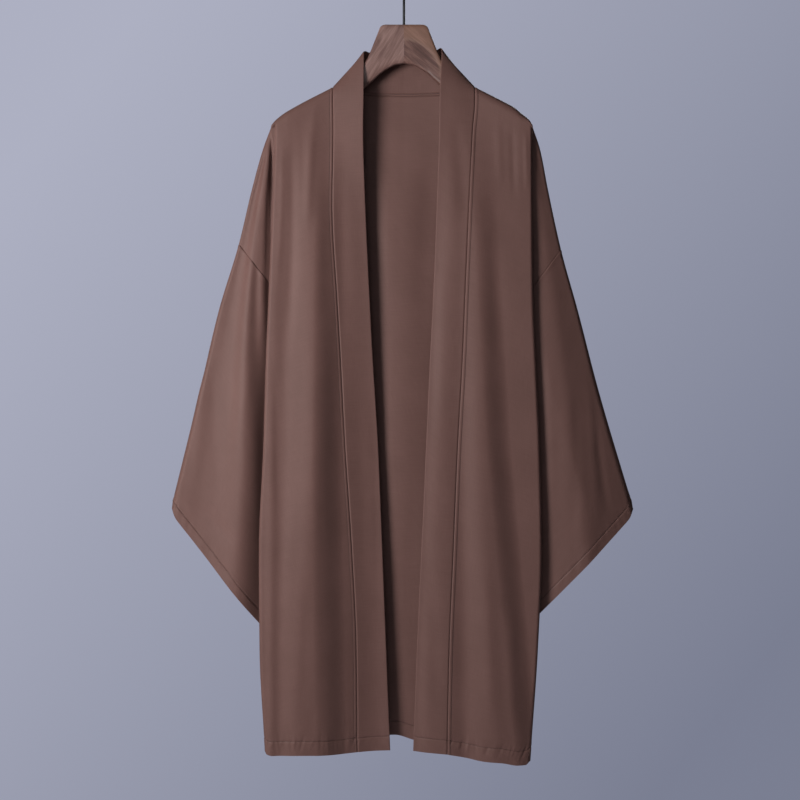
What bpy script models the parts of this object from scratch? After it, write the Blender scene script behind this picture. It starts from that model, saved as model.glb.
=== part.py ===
"""Meditation kimono: an open-front robe in brown crepe, hanging on a walnut hanger.

Metres, +Z up. The front faces -Y, and left and right are as seen from the front (-X is left).
The origin is the inner top of the hook's bow, where the rail that holds it would lie.

Each cloth panel is one wall, lofted over sections worked out from the sizes below. The panel is
followed as it was cut: its columns run down the cloth and its rows run across. On its way out from
the middle, a body panel passes its front fold (the outer edge that shows), turns back in as a deep
side tuck, and above the underarm turns out again at a slanting crease. That last stretch, the wing,
carries the sleeve. This is how a wide body with dropped shoulders falls from a narrow hanger.
"""

import math

import bmesh
import bpy
import numpy as np

# Cloth
WALL = 0.0015
SEAM_GAP = 0.0003
HALF_GAP = SEAM_GAP / 2
TOP_SEAM_GAP = 0.0004      # half the gap along the sleeve's top line, where the walls meet on edge
REST_GAP = 0.0012          # from the wood to the middle of the cloth that lies on it

# Body of the robe
LEFT = -1
RIGHT = 1
NECK_TOP = -0.190          # height at which the outline and depth tables start
SIDE_SEAM_OUT = 0.076      # the side seam hangs this far from the middle, deep in the tuck
SIDE_TUCK_HEM = -1.2230
SIDE_SEAM_BACK = 0.012     # how far behind the hook's axis the side seam reaches, and over what height
SIDE_SEAM_SWING = 0.250
SEAM_CLOSES_IN = 0.200     # below the underarm, front and back meet at the side seam over this height
TUCK_CURVE = 1.3           # exponent of the tuck's section, 1 for a straight one
EDGE_RADIUS_TOP = 0.0035   # roll of the cloth at the outer edges, by the hanger's tip and lower down
EDGE_RADIUS_LOW = 0.0048
EDGE_ROLLS_FROM = -0.260   # height where that roll starts to widen, and over what height
EDGE_ROLLS_OVER = 0.250
UNDERARM_OPEN = 0.006      # half the distance between front and back at the underarm
LEAST_CREASE = 0.0005      # smallest radius of the slanting crease
LEAST_ROLL = 0.003         # smallest radius of the roll along the top line
HANGS_AFTER = 0.220        # below the arm, the cloth takes its hanging depth over this height
STRAIGHT_AFTER = 0.050     # and its columns run on their own lines over this one
TUCK_SETTLES_IN = 0.120    # below the slanting crease, the tuck's columns do so over this height
TIP_SINK = 0.005           # the cloth rounds the arm's tip over this height, not the arm's own
TIP_SINK_OUT = 0.020       # within this distance of the tip
TIP_SHARE = 0.2            # share of the tuck and wing that is still rounded by the tip, or by the hem
NECK_CLEAR = 0.0005        # the back panel falls this far behind its neck seam
BAND_BEND_GAP = 0.0011     # more room for the collar where it stands up off the panels
BAND_BENDS_FROM = -0.215   # height where it starts to stand up, and over what height
BAND_BENDS_OVER = 0.020

# Heights at which the fold tables below are given
FOLD_TOP = -0.300
FOLD_MIDDLE = -0.750
FOLD_HEM = -1.220

# Distances out from the middle of the robe, a row for each height
OUTLINE_COLUMNS = ("height", "opening", "collar_seam", "front_edge", "back_edge")
OUTLINE = {
    LEFT: (
        (-0.190, 0.0625, 0.1112, 0.2070, 0.2060),
        (-0.255, 0.0636, 0.1105, 0.2080, 0.2065),
        (-0.368, 0.0605, 0.1116, 0.2124, 0.2095),
        (-0.523, 0.0535, 0.1039, 0.2130, 0.2110),
        (-0.600, 0.0496, 0.0995, 0.2190, 0.2130),
        (-0.755, 0.0403, 0.0915, 0.2200, 0.2160),
        (-0.910, 0.0340, 0.0815, 0.2200, 0.2170),
        (-1.065, 0.0280, 0.0745, 0.2200, 0.2160),
        (-1.230, 0.0215, 0.0729, 0.2135, 0.2110),
    ),
    RIGHT: (
        (-0.190, 0.0560, 0.1110, 0.2005, 0.1985),
        (-0.255, 0.0553, 0.1075, 0.1990, 0.1980),
        (-0.368, 0.0512, 0.1015, 0.1995, 0.1985),
        (-0.523, 0.0450, 0.0946, 0.2010, 0.2000),
        (-0.600, 0.0410, 0.0915, 0.2040, 0.2030),
        (-0.755, 0.0340, 0.0830, 0.2105, 0.2075),
        (-0.910, 0.0270, 0.0765, 0.2135, 0.2100),
        (-1.065, 0.0200, 0.0700, 0.2077, 0.2030),
        (-1.240, 0.0136, 0.0665, 0.1905, 0.1880),
    ),
}

# Top line of the cloth over the hanger's arm, from the neck to the arm's tip
SHOULDER_COLUMNS = ("out", "height")
SHOULDER = {
    LEFT: (
        (0.1112, -0.1880),
        (0.1550, -0.2106),
        (0.1720, -0.2200),
        (0.1880, -0.2298),
        (0.1990, -0.2388),
        (0.2070, -0.2482),
    ),
    RIGHT: (
        (0.1110, -0.1878),
        (0.1550, -0.2104),
        (0.1720, -0.2198),
        (0.1835, -0.2294),
        (0.1945, -0.2388),
        (0.2008, -0.2482),
    ),
}

# Outer line of the hanging shoulder and sleeve, from the hanger's tip to the cuff
SLEEVE_TOP_COLUMNS = ("height", "out")
SLEEVE_TOP = {
    LEFT: (
        (-0.2482, 0.2070),
        (-0.2858, 0.2210),
        (-0.3485, 0.2383),
        (-0.4330, 0.2586),
        (-0.5367, 0.2900),
        (-0.6620, 0.3198),
        (-0.8470, 0.3668),
    ),
    RIGHT: (
        (-0.2482, 0.2008),
        (-0.2858, 0.2133),
        (-0.3485, 0.2259),
        (-0.4410, 0.2462),
        (-0.5367, 0.2729),
        (-0.6620, 0.3058),
        (-0.8550, 0.3638),
    ),
}
ARMHOLE_TOP_HEIGHT = {LEFT: -0.4330, RIGHT: -0.4410}
UNDERARM = {LEFT: (0.076, -0.665), RIGHT: (0.076, -0.667)}       # out, height
CUFF_BOTTOM = {LEFT: (0.167, -1.098), RIGHT: (0.140, -1.086)}    # out, height

# Bottom edge of each front, and of the back, where distances out run from left to right
HEM_COLUMNS = ("out", "height")
FRONT_HEM = {
    LEFT: (
        (0.020, -1.2205),
        (0.102, -1.2265),
        (0.190, -1.2300),
        (0.2135, -1.2245),
    ),
    RIGHT: (
        (0.012, -1.2205),
        (0.057, -1.2250),
        (0.104, -1.2370),
        (0.158, -1.2437),
        (0.180, -1.2440),
        (0.1905, -1.2340),
    ),
}
BACK_HEM = (
    (-0.212, -1.2225),
    (-0.120, -1.2255),
    (-0.010, -1.2215),
    (0.100, -1.2260),
    (0.190, -1.2225),
)
BACK_HEM_OUT = 0.210       # where the back's hem is read for its tucks

# How far the panels hang in front of and behind the hook's axis, by height
DEPTH_COLUMNS = ("height", "front", "back")
DEPTH = (
    (-0.190, -0.0120, 0.0200),
    (-0.300, -0.0190, 0.0215),
    (-0.450, -0.0230, 0.0230),
    (-0.700, -0.0280, 0.0260),
    (-1.000, -0.0300, 0.0290),
    (-1.245, -0.0300, 0.0310),
)

# Large folds, a row for each: its distance out at the three fold heights, its half width, and how
# far it stands out of the panel at those heights (below nought for a trough)
FOLD_COLUMNS = ("out_top", "out_middle", "out_hem", "half_width", "rise_top", "rise_middle", "rise_hem")
FRONT_FOLDS = {
    LEFT: (
        (0.150, 0.145, 0.168, 0.024, 0.002, 0.006, 0.004),
        (0.182, 0.187, 0.190, 0.012, -0.001, -0.002, -0.001),
        (0.196, 0.206, 0.206, 0.008, 0.000, 0.001, 0.002),
    ),
    RIGHT: (
        (0.112, 0.118, 0.140, 0.022, 0.001, 0.003, 0.003),
        (0.098, 0.088, 0.094, 0.017, -0.001, -0.003, -0.004),
        (0.052, 0.034, 0.014, 0.014, 0.000, -0.003, -0.004),
    ),
}
# Long steps of the fronts. Between its line and the opening, the panel and the collar lie further
# back by the fall given at each fold height (below nought where they stand further forward)
STEP_COLUMNS = ("out_top", "out_middle", "out_hem", "width", "fall_top", "fall_middle", "fall_hem")
FRONT_STEPS_DOWN = {
    LEFT: (
        (0.114, 0.120, 0.114, 0.048, 0.004, 0.014, 0.016),
        (0.086, 0.084, 0.078, 0.085, 0.000, 0.018, 0.021),
    ),
    RIGHT: ((0.122, 0.146, 0.190, 0.040, -0.003, -0.010, -0.012),),
}
# Distances here run from left to right, so they are below nought on the left
BACK_FOLDS = (
    (-0.175, -0.168, -0.160, 0.026, 0.002, 0.005, 0.007),
    (-0.130, -0.112, -0.098, 0.022, -0.002, -0.006, -0.007),
    (-0.075, -0.068, -0.064, 0.022, 0.000, 0.002, 0.003),
    (-0.010, -0.008, -0.004, 0.056, -0.002, -0.009, -0.010),
    (0.085, 0.084, 0.090, 0.026, 0.001, 0.005, 0.007),
    (0.140, 0.142, 0.148, 0.022, -0.002, -0.006, -0.007),
    (0.178, 0.186, 0.186, 0.016, 0.001, 0.003, 0.004),
)

# Sleeve folds fall in lines from the hanger's tip. A lean is the distance out from the tip for each
# metre down, at the armhole and at the cuff; a rise is how far the layer stands out there
SLEEVE_FOLD_COLUMNS = ("lean_armhole", "lean_cuff", "half_lean", "rise_armhole", "rise_cuff")
SLEEVE_FRONT_FOLDS = {
    LEFT: (
        (0.245, 0.190, 0.032, -0.002, -0.004),
        (0.145, 0.092, 0.027, 0.005, 0.009),
        (0.036, 0.016, 0.024, -0.005, -0.009),
    ),
    RIGHT: ((0.116, 0.108, 0.026, 0.005, 0.008), (0.060, 0.050, 0.030, 0.009, 0.013)),
}
SLEEVE_BACK_FOLDS = {
    LEFT: ((0.240, 0.180, 0.035, 0.001, 0.004), (0.160, 0.090, 0.035, -0.001, -0.004)),
    RIGHT: ((0.230, 0.190, 0.035, -0.001, -0.004), (0.170, 0.100, 0.035, 0.001, 0.005)),
}
SLEEVE_SWING = 0.010       # the sleeve hangs this much further back for each metre down
SLEEVE_LEAN = {LEFT: 0.00, RIGHT: 0.05}      # and for each metre out beyond the hanger's tip
SLEEVE_BEND = {LEFT: 0.00, RIGHT: 0.25}      # and for each metre out beyond a ridge with this lean
RIDGE_LEAN = 0.125
RIDGE_ROUND = 0.008        # size of the bend at that ridge
SLEEVE_START_GAP = 0.0009  # from the armhole's line to the sleeve
SLEEVE_THIN = 0.0020       # half the distance between the sleeve's layers at its bottom seam
SLEEVE_HALF_TOP = 0.005    # and along its top line
TIP_BULGE = 0.005          # more than that round the hanger's tip, fading over the next distance down
TIP_BULGE_DOWN = 0.040
SLEEVE_OPENS = 0.008       # more than that at the cuff, growing from the first distance over the second
SLEEVE_OPENS_FROM = 0.050
SLEEVE_OPENS_OVER = 0.500
SLEEVE_REACH = 0.250       # shares of the spread below are given across this distance from the top line
SLEEVE_SPREAD_COLUMNS = ("across", "share")
SLEEVE_SPREAD = ((0.0, 0.75), (0.3, 1.00), (0.6, 0.70), (1.0, 0.20))
LEAST_DOWN = 0.050         # leans are measured from no nearer to the tip than this
SLEEVE_FOLDS_START = 0.100
SLEEVE_FOLDS_OVER = 0.500

# The back neck seam and, for each point of it, the free edge of the collar's band behind the neck
NECK_COLUMNS = ("out", "back", "height")
NECK = (
    (0.0000, 0.0190, -0.1955),
    (0.0450, 0.0180, -0.1945),
    (0.0750, 0.0155, -0.1925),
    (0.0950, 0.0120, -0.1898),
    (0.1010, 0.0095, -0.1876),
    (0.1060, 0.0060, -0.1864),
    (0.1085, 0.0030, -0.1867),
    (0.1110, 0.0000, -0.1878),
)
BAND_COLUMNS = ("seam_out", "out", "back", "height")
BAND_TURN = (
    (0.0000, 0.0000, 0.0215, -0.1345),
    (0.0450, 0.0370, 0.0200, -0.1330),
    (0.0750, 0.0520, 0.0160, -0.1318),
    (0.0950, 0.0575, 0.0090, -0.1318),
    (0.1010, 0.0590, 0.0050, -0.1326),
    (0.1060, 0.0600, 0.0010, -0.1340),
    (0.1110, 0.0600, -0.0030, -0.1370),
)
BAND_CORNER_OUT = {LEFT: 0.0625, RIGHT: 0.0590}
BAND_STATIONS = (0.1060, 0.1010, 0.0950, 0.0850, 0.0750, 0.0600, 0.0450, 0.0300, 0.0150, 0.0000)

# Hanger
ARM_COLUMNS = ("out", "top", "bottom", "half_thick")
ARM = (
    (0.0000, -0.0895, -0.1500, 0.0065),
    (0.0120, -0.0895, -0.1518, 0.0065),
    (0.0290, -0.0895, -0.1605, 0.0065),
    (0.0340, -0.0908, -0.1640, 0.0065),
    (0.0375, -0.0940, -0.1665, 0.0065),
    (0.0395, -0.0990, -0.1682, 0.0066),
    (0.0450, -0.1130, -0.1735, 0.0067),
    (0.0520, -0.1305, -0.1800, 0.0069),
    (0.0590, -0.1455, -0.1862, 0.0071),
    (0.0670, -0.1560, -0.1925, 0.0073),
    (0.0760, -0.1645, -0.1985, 0.0076),
    (0.0880, -0.1740, -0.2065, 0.0080),
    (0.1000, -0.1820, -0.2145, 0.0084),
    (0.1110, -0.1892, -0.2205, 0.0088),
    (0.1550, -0.2118, -0.2445, 0.0130),
    (0.1720, -0.2215, -0.2535, 0.0148),
    (0.1830, -0.2312, -0.2590, 0.0156),
    (0.1900, -0.2390, -0.2610, 0.0146),
    (0.1950, -0.2455, -0.2600, 0.0115),
    (0.1975, -0.2500, -0.2575, 0.0060),
)
ARM_ROUNDNESS = 2.6        # exponent of the arm's section, 2 for an ellipse
ARM_CLOTH_IN = 0.111       # the cloth lies on the arm between these distances out
ARM_CLOTH_OUT = 0.183
BAND_LEAN = 0.12           # the collar stands forward of the wood by this share of its own width
ARM_POINTS = 20

# Hook
WIRE_RADIUS = 0.0020
HOOK_RADIUS = 0.0240       # to the middle of the wire
HOOK_MIDDLE = -(HOOK_RADIUS - WIRE_RADIUS)
SHANK_DEPTH = 0.022        # how far the wire goes into the wood
HEAD_TOP = ARM[0][1]
HOOK_NECK_LOW = -0.050     # the wire leaves its axis here, in a short swan neck to the side of the bow
HOOK_NECK_TURN = 62        # degrees round the bow, from its lowest point, where that neck meets it
BOW_START = -28            # degrees round the bow from +X, from the neck to the wire's end
BOW_END = 205

# Mesh
SHOULDER_STEPS = 7
FALL_STEPS = 17
FALL_CROWDING = 1.15       # exponents by which rows or columns crowd together
FRONT_STEPS = 10
FRONT_CROWDING = 1.5
ARM_STEPS = 6
ARM_CROWDING = 1.6
TUCK_STEPS = 7
TUCK_CROWDING = 1.25
SLEEVE_STEPS = 13
SLEEVE_ACROSS = (0, 0.006, 0.025, 0.08, 0.16, 0.25, 0.35, 0.46, 0.58, 0.70, 0.82, 0.92, 0.975, 0.994, 1)
COLLAR_STEPS = 3
HOOK_NECK_STEPS = 5
BOW_STEPS = 26
WING_ROWS = (0.0, 0.002, 0.014, 0.36, 0.68)     # shares of the way down the wing, before the crease
CREASE_ROWS = (1.0, 0.25)                       # then rows at these shares of the crease's radius
CREASE_ROW_MOST = 0.24                          # and no further from it than this share of the wing
FALL_ROWS = [(k / FALL_STEPS) ** FALL_CROWDING for k in range(FALL_STEPS + 1)]

kimono = bpy.data.collections.new("meditation_kimono")
cutters = bpy.data.collections.new("cutters")


def clear_scene():
    for thing in list(bpy.data.objects):
        bpy.data.objects.remove(thing, do_unlink=True)
    bpy.context.scene.collection.children.link(kimono)
    bpy.context.scene.collection.children.link(cutters)


def material(name, color, roughness, metallic=0.0):
    finish = bpy.data.materials.new(name)
    finish.use_nodes = True
    shader = finish.node_tree.nodes["Principled BSDF"]
    shader.inputs["Base Color"].default_value = (*color, 1.0)
    shader.inputs["Roughness"].default_value = roughness
    shader.inputs["Metallic"].default_value = metallic
    return finish


def read(table, columns, key, wanted, at):
    """Value of a table's column at a place between its rows, on a smooth curve without overshoot."""
    rows = sorted(table, key=lambda row: row[columns.index(key)])
    places = [row[columns.index(key)] for row in rows]
    values = [row[columns.index(wanted)] for row in rows]
    if at <= places[0]:
        return values[0]
    if at >= places[-1]:
        return values[-1]
    i = int(np.searchsorted(places, at)) - 1
    slopes = [(values[k + 1] - values[k]) / (places[k + 1] - places[k]) for k in range(len(values) - 1)]

    def tangent(k):
        if k == 0:
            return slopes[0]
        if k == len(values) - 1:
            return slopes[-1]
        before, after = slopes[k - 1], slopes[k]
        return 0.0 if before * after <= 0 else 2 * before * after / (before + after)

    width = places[i + 1] - places[i]
    t = (at - places[i]) / width
    start = (1 + 2 * t) * (1 - t) ** 2 * values[i] + t * (1 - t) ** 2 * width * tangent(i)
    end = t * t * (3 - 2 * t) * values[i + 1] + t * t * (t - 1) * width * tangent(i + 1)
    return start + end


def blend(a, b, t):
    return a + (b - a) * t


def ease(t):
    t = min(max(t, 0.0), 1.0)
    return t * t * (3 - 2 * t)


def rolled(distance, radius):
    """How far a layer has opened at a distance from a fold of this radius: 0 at the fold, then 1."""
    share = 1 - min(distance / radius, 1.0)
    return math.sqrt(1 - share * share)


def round_arm(turn):
    """Level and drop of the arm's section at a turn from its crest (0) to its side (1)."""
    angle = math.pi / 2 * turn
    level = math.sin(angle) ** (2 / ARM_ROUNDNESS)
    drop = 1 - math.cos(angle) ** (2 / ARM_ROUNDNESS)
    return level, drop


def outline(side, wanted, height):
    return read(OUTLINE[side], OUTLINE_COLUMNS, "height", wanted, height)


def depth(layer, height):
    return read(DEPTH, DEPTH_COLUMNS, "height", layer, height)


def fold_rise(folds, out, height):
    """Sum of the folds of a panel at a place on it."""
    rise = 0.0
    for fold in folds:
        row = dict(zip(FOLD_COLUMNS, fold))
        stations = (FOLD_HEM, FOLD_MIDDLE, FOLD_TOP)
        middle = np.interp(height, stations, (row["out_hem"], row["out_middle"], row["out_top"]))
        swell = np.interp(height, stations, (row["rise_hem"], row["rise_middle"], row["rise_top"]))
        rise += swell * math.exp(-(((out - middle) / row["half_width"]) ** 2))
    return rise


def steps_down(side, out, height):
    """How far a front has fallen back at a place on it, by all its steps."""
    fallen = 0.0
    for step in FRONT_STEPS_DOWN[side]:
        row = dict(zip(STEP_COLUMNS, step))
        stations = (FOLD_HEM, FOLD_MIDDLE, FOLD_TOP)
        middle = np.interp(height, stations, (row["out_hem"], row["out_middle"], row["out_top"]))
        fall = np.interp(height, stations, (row["fall_hem"], row["fall_middle"], row["fall_top"]))
        fallen += fall * ease((middle - out) / row["width"] + 0.5)
    return fallen


def arm_half_thick(out):
    return read(ARM, ARM_COLUMNS, "out", "half_thick", min(max(out, ARM_CLOTH_IN), ARM_CLOTH_OUT))


def arm_sink(out):
    """Height over which the cloth rounds the upper half of the arm."""
    place = min(max(out, ARM_CLOTH_IN), ARM_CLOTH_OUT)
    top = read(ARM, ARM_COLUMNS, "out", "top", place)
    bottom = read(ARM, ARM_COLUMNS, "out", "bottom", place)
    return (top - bottom) / 2 + REST_GAP


def tip(side):
    """Distance out and height of the cloth at the hanger's tip."""
    return SHOULDER[side][-1]


def main_level(layer, side, out, height):
    """Y of a body panel's flat part."""
    crest = read(SHOULDER[side], SHOULDER_COLUMNS, "out", "height", out)
    fallen = ease((crest - arm_sink(out) - height) / HANGS_AFTER)
    if layer == "front":
        on_arm = -(arm_half_thick(out) + REST_GAP + BAND_LEAN * max(ARM_CLOTH_IN - out, 0.0))
        hanging = depth("front", height) - fold_rise(FRONT_FOLDS[side], out, height)
        hanging += steps_down(side, out, height)
    else:
        on_arm = max(arm_half_thick(out) + REST_GAP, neck_level(out) + NECK_CLEAR)
        hanging = depth("back", height) + fold_rise(BACK_FOLDS, side * out, height)
    return blend(on_arm, hanging, fallen)


def sleeve_middle(side, out, height):
    """Y half way between the layers of the sleeve and of the wing above it."""
    tip_out, tip_height = tip(side)
    down = max(tip_height - height, 0.0)
    beyond = out - tip_out - RIDGE_LEAN * down
    bent = (beyond + math.hypot(beyond, RIDGE_ROUND)) / 2 * ease(down / SLEEVE_FOLDS_START)
    return SLEEVE_SWING * down + SLEEVE_LEAN[side] * max(out - tip_out, 0.0) + SLEEVE_BEND[side] * bent


def sleeve_level(layer, side, out, height):
    """Y of a layer of the sleeve, and of the wing above it."""
    tip_out, tip_height = tip(side)
    down = max(tip_height - height, 0.0)
    outer = read(SLEEVE_TOP[side], SLEEVE_TOP_COLUMNS, "height", "out", height)
    inward = min(max((outer - out) / SLEEVE_REACH, 0.0), 1.0)
    spread = SLEEVE_HALF_TOP + TIP_BULGE * math.exp(-down / TIP_BULGE_DOWN)
    spread += SLEEVE_OPENS * ease((down - SLEEVE_OPENS_FROM) / SLEEVE_OPENS_OVER)
    spread *= read(SLEEVE_SPREAD, SLEEVE_SPREAD_COLUMNS, "across", "share", inward)
    half = max(spread, SLEEVE_THIN)
    lean = (out - tip_out) / max(down, LEAST_DOWN)
    folds = (SLEEVE_FRONT_FOLDS if layer == "front" else SLEEVE_BACK_FOLDS)[side]
    grown = ease((down - SLEEVE_FOLDS_START) / SLEEVE_FOLDS_OVER)
    for fold in folds:
        row = dict(zip(SLEEVE_FOLD_COLUMNS, fold))
        middle = blend(row["lean_armhole"], row["lean_cuff"], grown)
        rise = blend(row["rise_armhole"], row["rise_cuff"], grown) * ease(down / SLEEVE_FOLDS_START)
        half += rise * math.exp(-(((lean - middle) / row["half_lean"]) ** 2))
    half = max(half, SLEEVE_THIN)
    toward = -1 if layer == "front" else 1
    return sleeve_middle(side, out, height) + toward * half


def tuck_level(layer, side, out, height):
    """Y of the tuck that runs in from the outer edge to the side seam."""
    toward = -1 if layer == "front" else 1
    edge = outline(side, layer + "_edge", height)
    radius = edge_radius(height)
    start = main_level(layer, side, edge - radius, height) - toward * 2 * radius
    below = UNDERARM[side][1] - height
    seam_back = SIDE_SEAM_BACK * ease(below / SIDE_SEAM_SWING)
    open_end = sleeve_middle(side, SIDE_SEAM_OUT, height) + toward * UNDERARM_OPEN
    sewn_end = seam_back + toward * (WALL + SEAM_GAP) / 2
    end = blend(open_end, sewn_end, ease(below / SEAM_CLOSES_IN))
    share = min(max((edge - out) / (edge - SIDE_SEAM_OUT), 0.0), 1.0)
    return blend(start, end, share**TUCK_CURVE)


def edge_radius(height):
    widened = ease((EDGE_ROLLS_FROM - height) / EDGE_ROLLS_OVER)
    return blend(EDGE_RADIUS_TOP, EDGE_RADIUS_LOW, widened)


def edge_level(layer, side, height):
    """Y of the outer edge itself, half way round its roll."""
    toward = -1 if layer == "front" else 1
    edge = outline(side, layer + "_edge", height)
    radius = edge_radius(height)
    return main_level(layer, side, edge - radius, height) - toward * radius


def neck_level(out):
    """Y of the back neck seam: it starts on the shoulder's crest and runs behind the neck."""
    return read(NECK, NECK_COLUMNS, "out", "back", out)


def crease_distance(side, out, height):
    """Distance of a place from the slanting crease, which runs from the tip to the underarm."""
    tip_out, tip_height = tip(side)
    arm_out, arm_height = UNDERARM[side]
    run_out, run_down = arm_out - tip_out, arm_height - tip_height
    length = math.hypot(run_out, run_down)
    return abs((out - tip_out) * run_down - (height - tip_height) * run_out) / length


def crease_point(side, share):
    tip_out, tip_height = tip(side)
    arm_out, arm_height = UNDERARM[side]
    return blend(tip_out, arm_out, share), blend(tip_height, arm_height, share)


def wing_top(side, share):
    """Place on the outer line at a share of the way from the tip to the armhole seam."""
    tip_height = tip(side)[1]
    height = blend(tip_height, ARMHOLE_TOP_HEIGHT[side], share)
    return read(SLEEVE_TOP[side], SLEEVE_TOP_COLUMNS, "height", "out", height), height


def tuck_out(layer, side, share, height):
    """Distance out of a column of the tuck at a height below the crease."""
    crease_out, crease_height = crease_point(side, share)

    def plain(at):
        return blend(outline(side, layer + "_edge", at), SIDE_SEAM_OUT, share)

    correction = crease_out - plain(crease_height)
    return plain(height) + correction * (1 - ease((crease_height - height) / TUCK_SETTLES_IN))


def layer_at_crease(layer, side, share):
    """Y of the crease itself, half way between the tuck and the wing, and its radius."""
    out, height = crease_point(side, share)
    edge = outline(side, layer + "_edge", height)
    opened = rolled(max(edge - out, 0.0), edge_radius(height))
    tuck = blend(edge_level(layer, side, height), tuck_level(layer, side, out, height), opened)
    wing = sleeve_level(layer, side, out, height)
    return (tuck + wing) / 2, max(abs(tuck - wing) / 2, LEAST_CREASE)


def outer_column(layer, side, share, hem):
    """Points of a column beyond the outer edge: down the wing to the crease, then down the tuck."""
    toward = -1 if layer == "front" else 1
    top_out, top_height = wing_top(side, share)
    turn_out, turn_height = crease_point(side, share)
    turn_y, turn_radius = layer_at_crease(layer, side, share)
    near_tip = 1 - ease(share / TIP_SHARE)
    length = math.hypot(top_out - turn_out, top_height - turn_height)
    apart = max(crease_distance(side, top_out, top_height), LEAST_CREASE)
    near_rows = [1 - near * min(turn_radius / apart, CREASE_ROW_MOST) for near in CREASE_ROWS]
    points = []
    for k, along in enumerate((*WING_ROWS, *near_rows, 1.0)):
        out = blend(top_out, turn_out, along)
        height = blend(top_height, turn_height, along)
        level = sleeve_level(layer, side, out, height)
        centre = sleeve_middle(side, out, height)
        opened = rolled(along * length, max(abs(level - centre), LEAST_ROLL))
        y = blend(centre + toward * TOP_SEAM_GAP, level, opened)
        y = blend(turn_y, y, rolled(crease_distance(side, out, height), turn_radius))
        rounded = blend(toward * TOP_SEAM_GAP, turn_y, round_arm(k / SHOULDER_STEPS)[0])
        points.append((side * out, blend(y, rounded, near_tip), height))
    run_out = UNDERARM[side][0] - tip(side)[0]
    run_down = UNDERARM[side][1] - tip(side)[1]
    steep = abs(run_out) / math.hypot(run_out, run_down)
    falls = [turn_radius * near / steep / (turn_height - hem) for near in reversed(CREASE_ROWS)]
    for along in (*falls, *FALL_ROWS[2:]):
        height = blend(turn_height, hem, along)
        out = tuck_out(layer, side, share, height)
        edge = outline(side, layer + "_edge", height)
        opened = rolled(max(edge - out, 0.0), edge_radius(height))
        y = blend(edge_level(layer, side, height), tuck_level(layer, side, out, height), opened)
        if height > UNDERARM[side][1] or share == 1.0:
            y = blend(turn_y, y, rolled(crease_distance(side, out, height), turn_radius))
        points.append((side * out, y, height))
    return points


def flat_column(layer, side, share, hem):
    """Points of a column of the flat part, from the shoulder or the neck down to the hem."""
    toward = -1 if layer == "front" else 1
    inner = "collar_seam" if layer == "front" else None

    def place(height):
        start = outline(side, inner, height) if inner else 0.0
        return blend(start, outline(side, layer + "_edge", height), share)

    top_out = blend(outline(side, inner, NECK_TOP) if inner else 0.0, tip(side)[0], share)
    if layer == "back" and top_out < NECK[-1][0]:
        crest = read(NECK, NECK_COLUMNS, "out", "height", top_out)
        start_y = max(neck_level(top_out), HALF_GAP)
    else:
        crest = read(SHOULDER[side], SHOULDER_COLUMNS, "out", "height", top_out)
        start_y = toward * HALF_GAP
    to_edge = tip(side)[0] - top_out
    opened = rolled(to_edge, EDGE_RADIUS_TOP)
    on_arm = blend(edge_level(layer, side, crest), main_level(layer, side, top_out, crest), opened)
    sink = blend(TIP_SINK, arm_sink(top_out), ease(to_edge / TIP_SINK_OUT))
    points = []
    for k in range(SHOULDER_STEPS + 1):
        level, drop = round_arm(k / SHOULDER_STEPS)
        points.append((side * top_out, blend(start_y, on_arm, level), crest - drop * sink))
    low = crest - sink
    for along in (FALL_ROWS[2] / 4, FALL_ROWS[2] / 2, *FALL_ROWS[2:]):
        height = blend(low, hem, along)
        out = blend(place(height), top_out, 1 - ease((low - height) / STRAIGHT_AFTER))
        edge = outline(side, layer + "_edge", height)
        opened = rolled(max(edge - out, 0.0), edge_radius(height))
        y = blend(edge_level(layer, side, height), main_level(layer, side, out, height), opened)
        points.append((side * out, y, height))
    return points


def crowded(steps, power):
    """Shares from 0 to 1, closer together towards 1."""
    return [1 - (1 - k / steps) ** power for k in range(steps + 1)]


def surface(name, columns, finish, closed=False):
    """An open surface over columns of points, made a wall of cloth by Solidify."""
    mesh = bpy.data.meshes.new(name)
    count = len(columns[0])
    points = [point for column in columns for point in column]
    faces = []
    last = len(columns) if closed else len(columns) - 1
    for c in range(last):
        after = (c + 1) % len(columns)
        for r in range(count - 1):
            faces.append((c * count + r, after * count + r, after * count + r + 1, c * count + r + 1))
    mesh.from_pydata(points, [], faces)
    thing = bpy.data.objects.new(name, mesh)
    kimono.objects.link(thing)
    mesh.materials.append(finish)
    mesh.shade_smooth()
    cloth = thing.modifiers.new("cloth", "SOLIDIFY")
    cloth.thickness = WALL
    cloth.offset = 0.0
    cloth.use_rim = True
    return thing


def tuck_columns(layer, side, hem_edge):
    """Columns beyond the outer edge; their hem runs from the edge's height to the side seam's."""
    columns = []
    for k in range(1, TUCK_STEPS + 1):
        share = (k / TUCK_STEPS) ** TUCK_CROWDING
        hem = blend(hem_edge, SIDE_TUCK_HEM, ease(share / TIP_SHARE))
        columns.append(outer_column(layer, side, share, hem))
    return columns


def front_columns(side):
    columns = []
    inner = outline(side, "collar_seam", FOLD_HEM)
    outer = outline(side, "front_edge", FOLD_HEM)
    for share in crowded(FRONT_STEPS, FRONT_CROWDING):
        hem = read(FRONT_HEM[side], HEM_COLUMNS, "out", "height", blend(inner, outer, share))
        columns.append(flat_column("front", side, share, hem))
    return columns + tuck_columns("front", side, FRONT_HEM[side][-1][1])


def make_front(side, name, finish):
    columns = front_columns(side)
    # The panel stops half a seam gap short of the collar
    columns[0] = [(x + side * HALF_GAP, y, z) for x, y, z in columns[0]]
    return surface(name, columns, finish)


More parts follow.
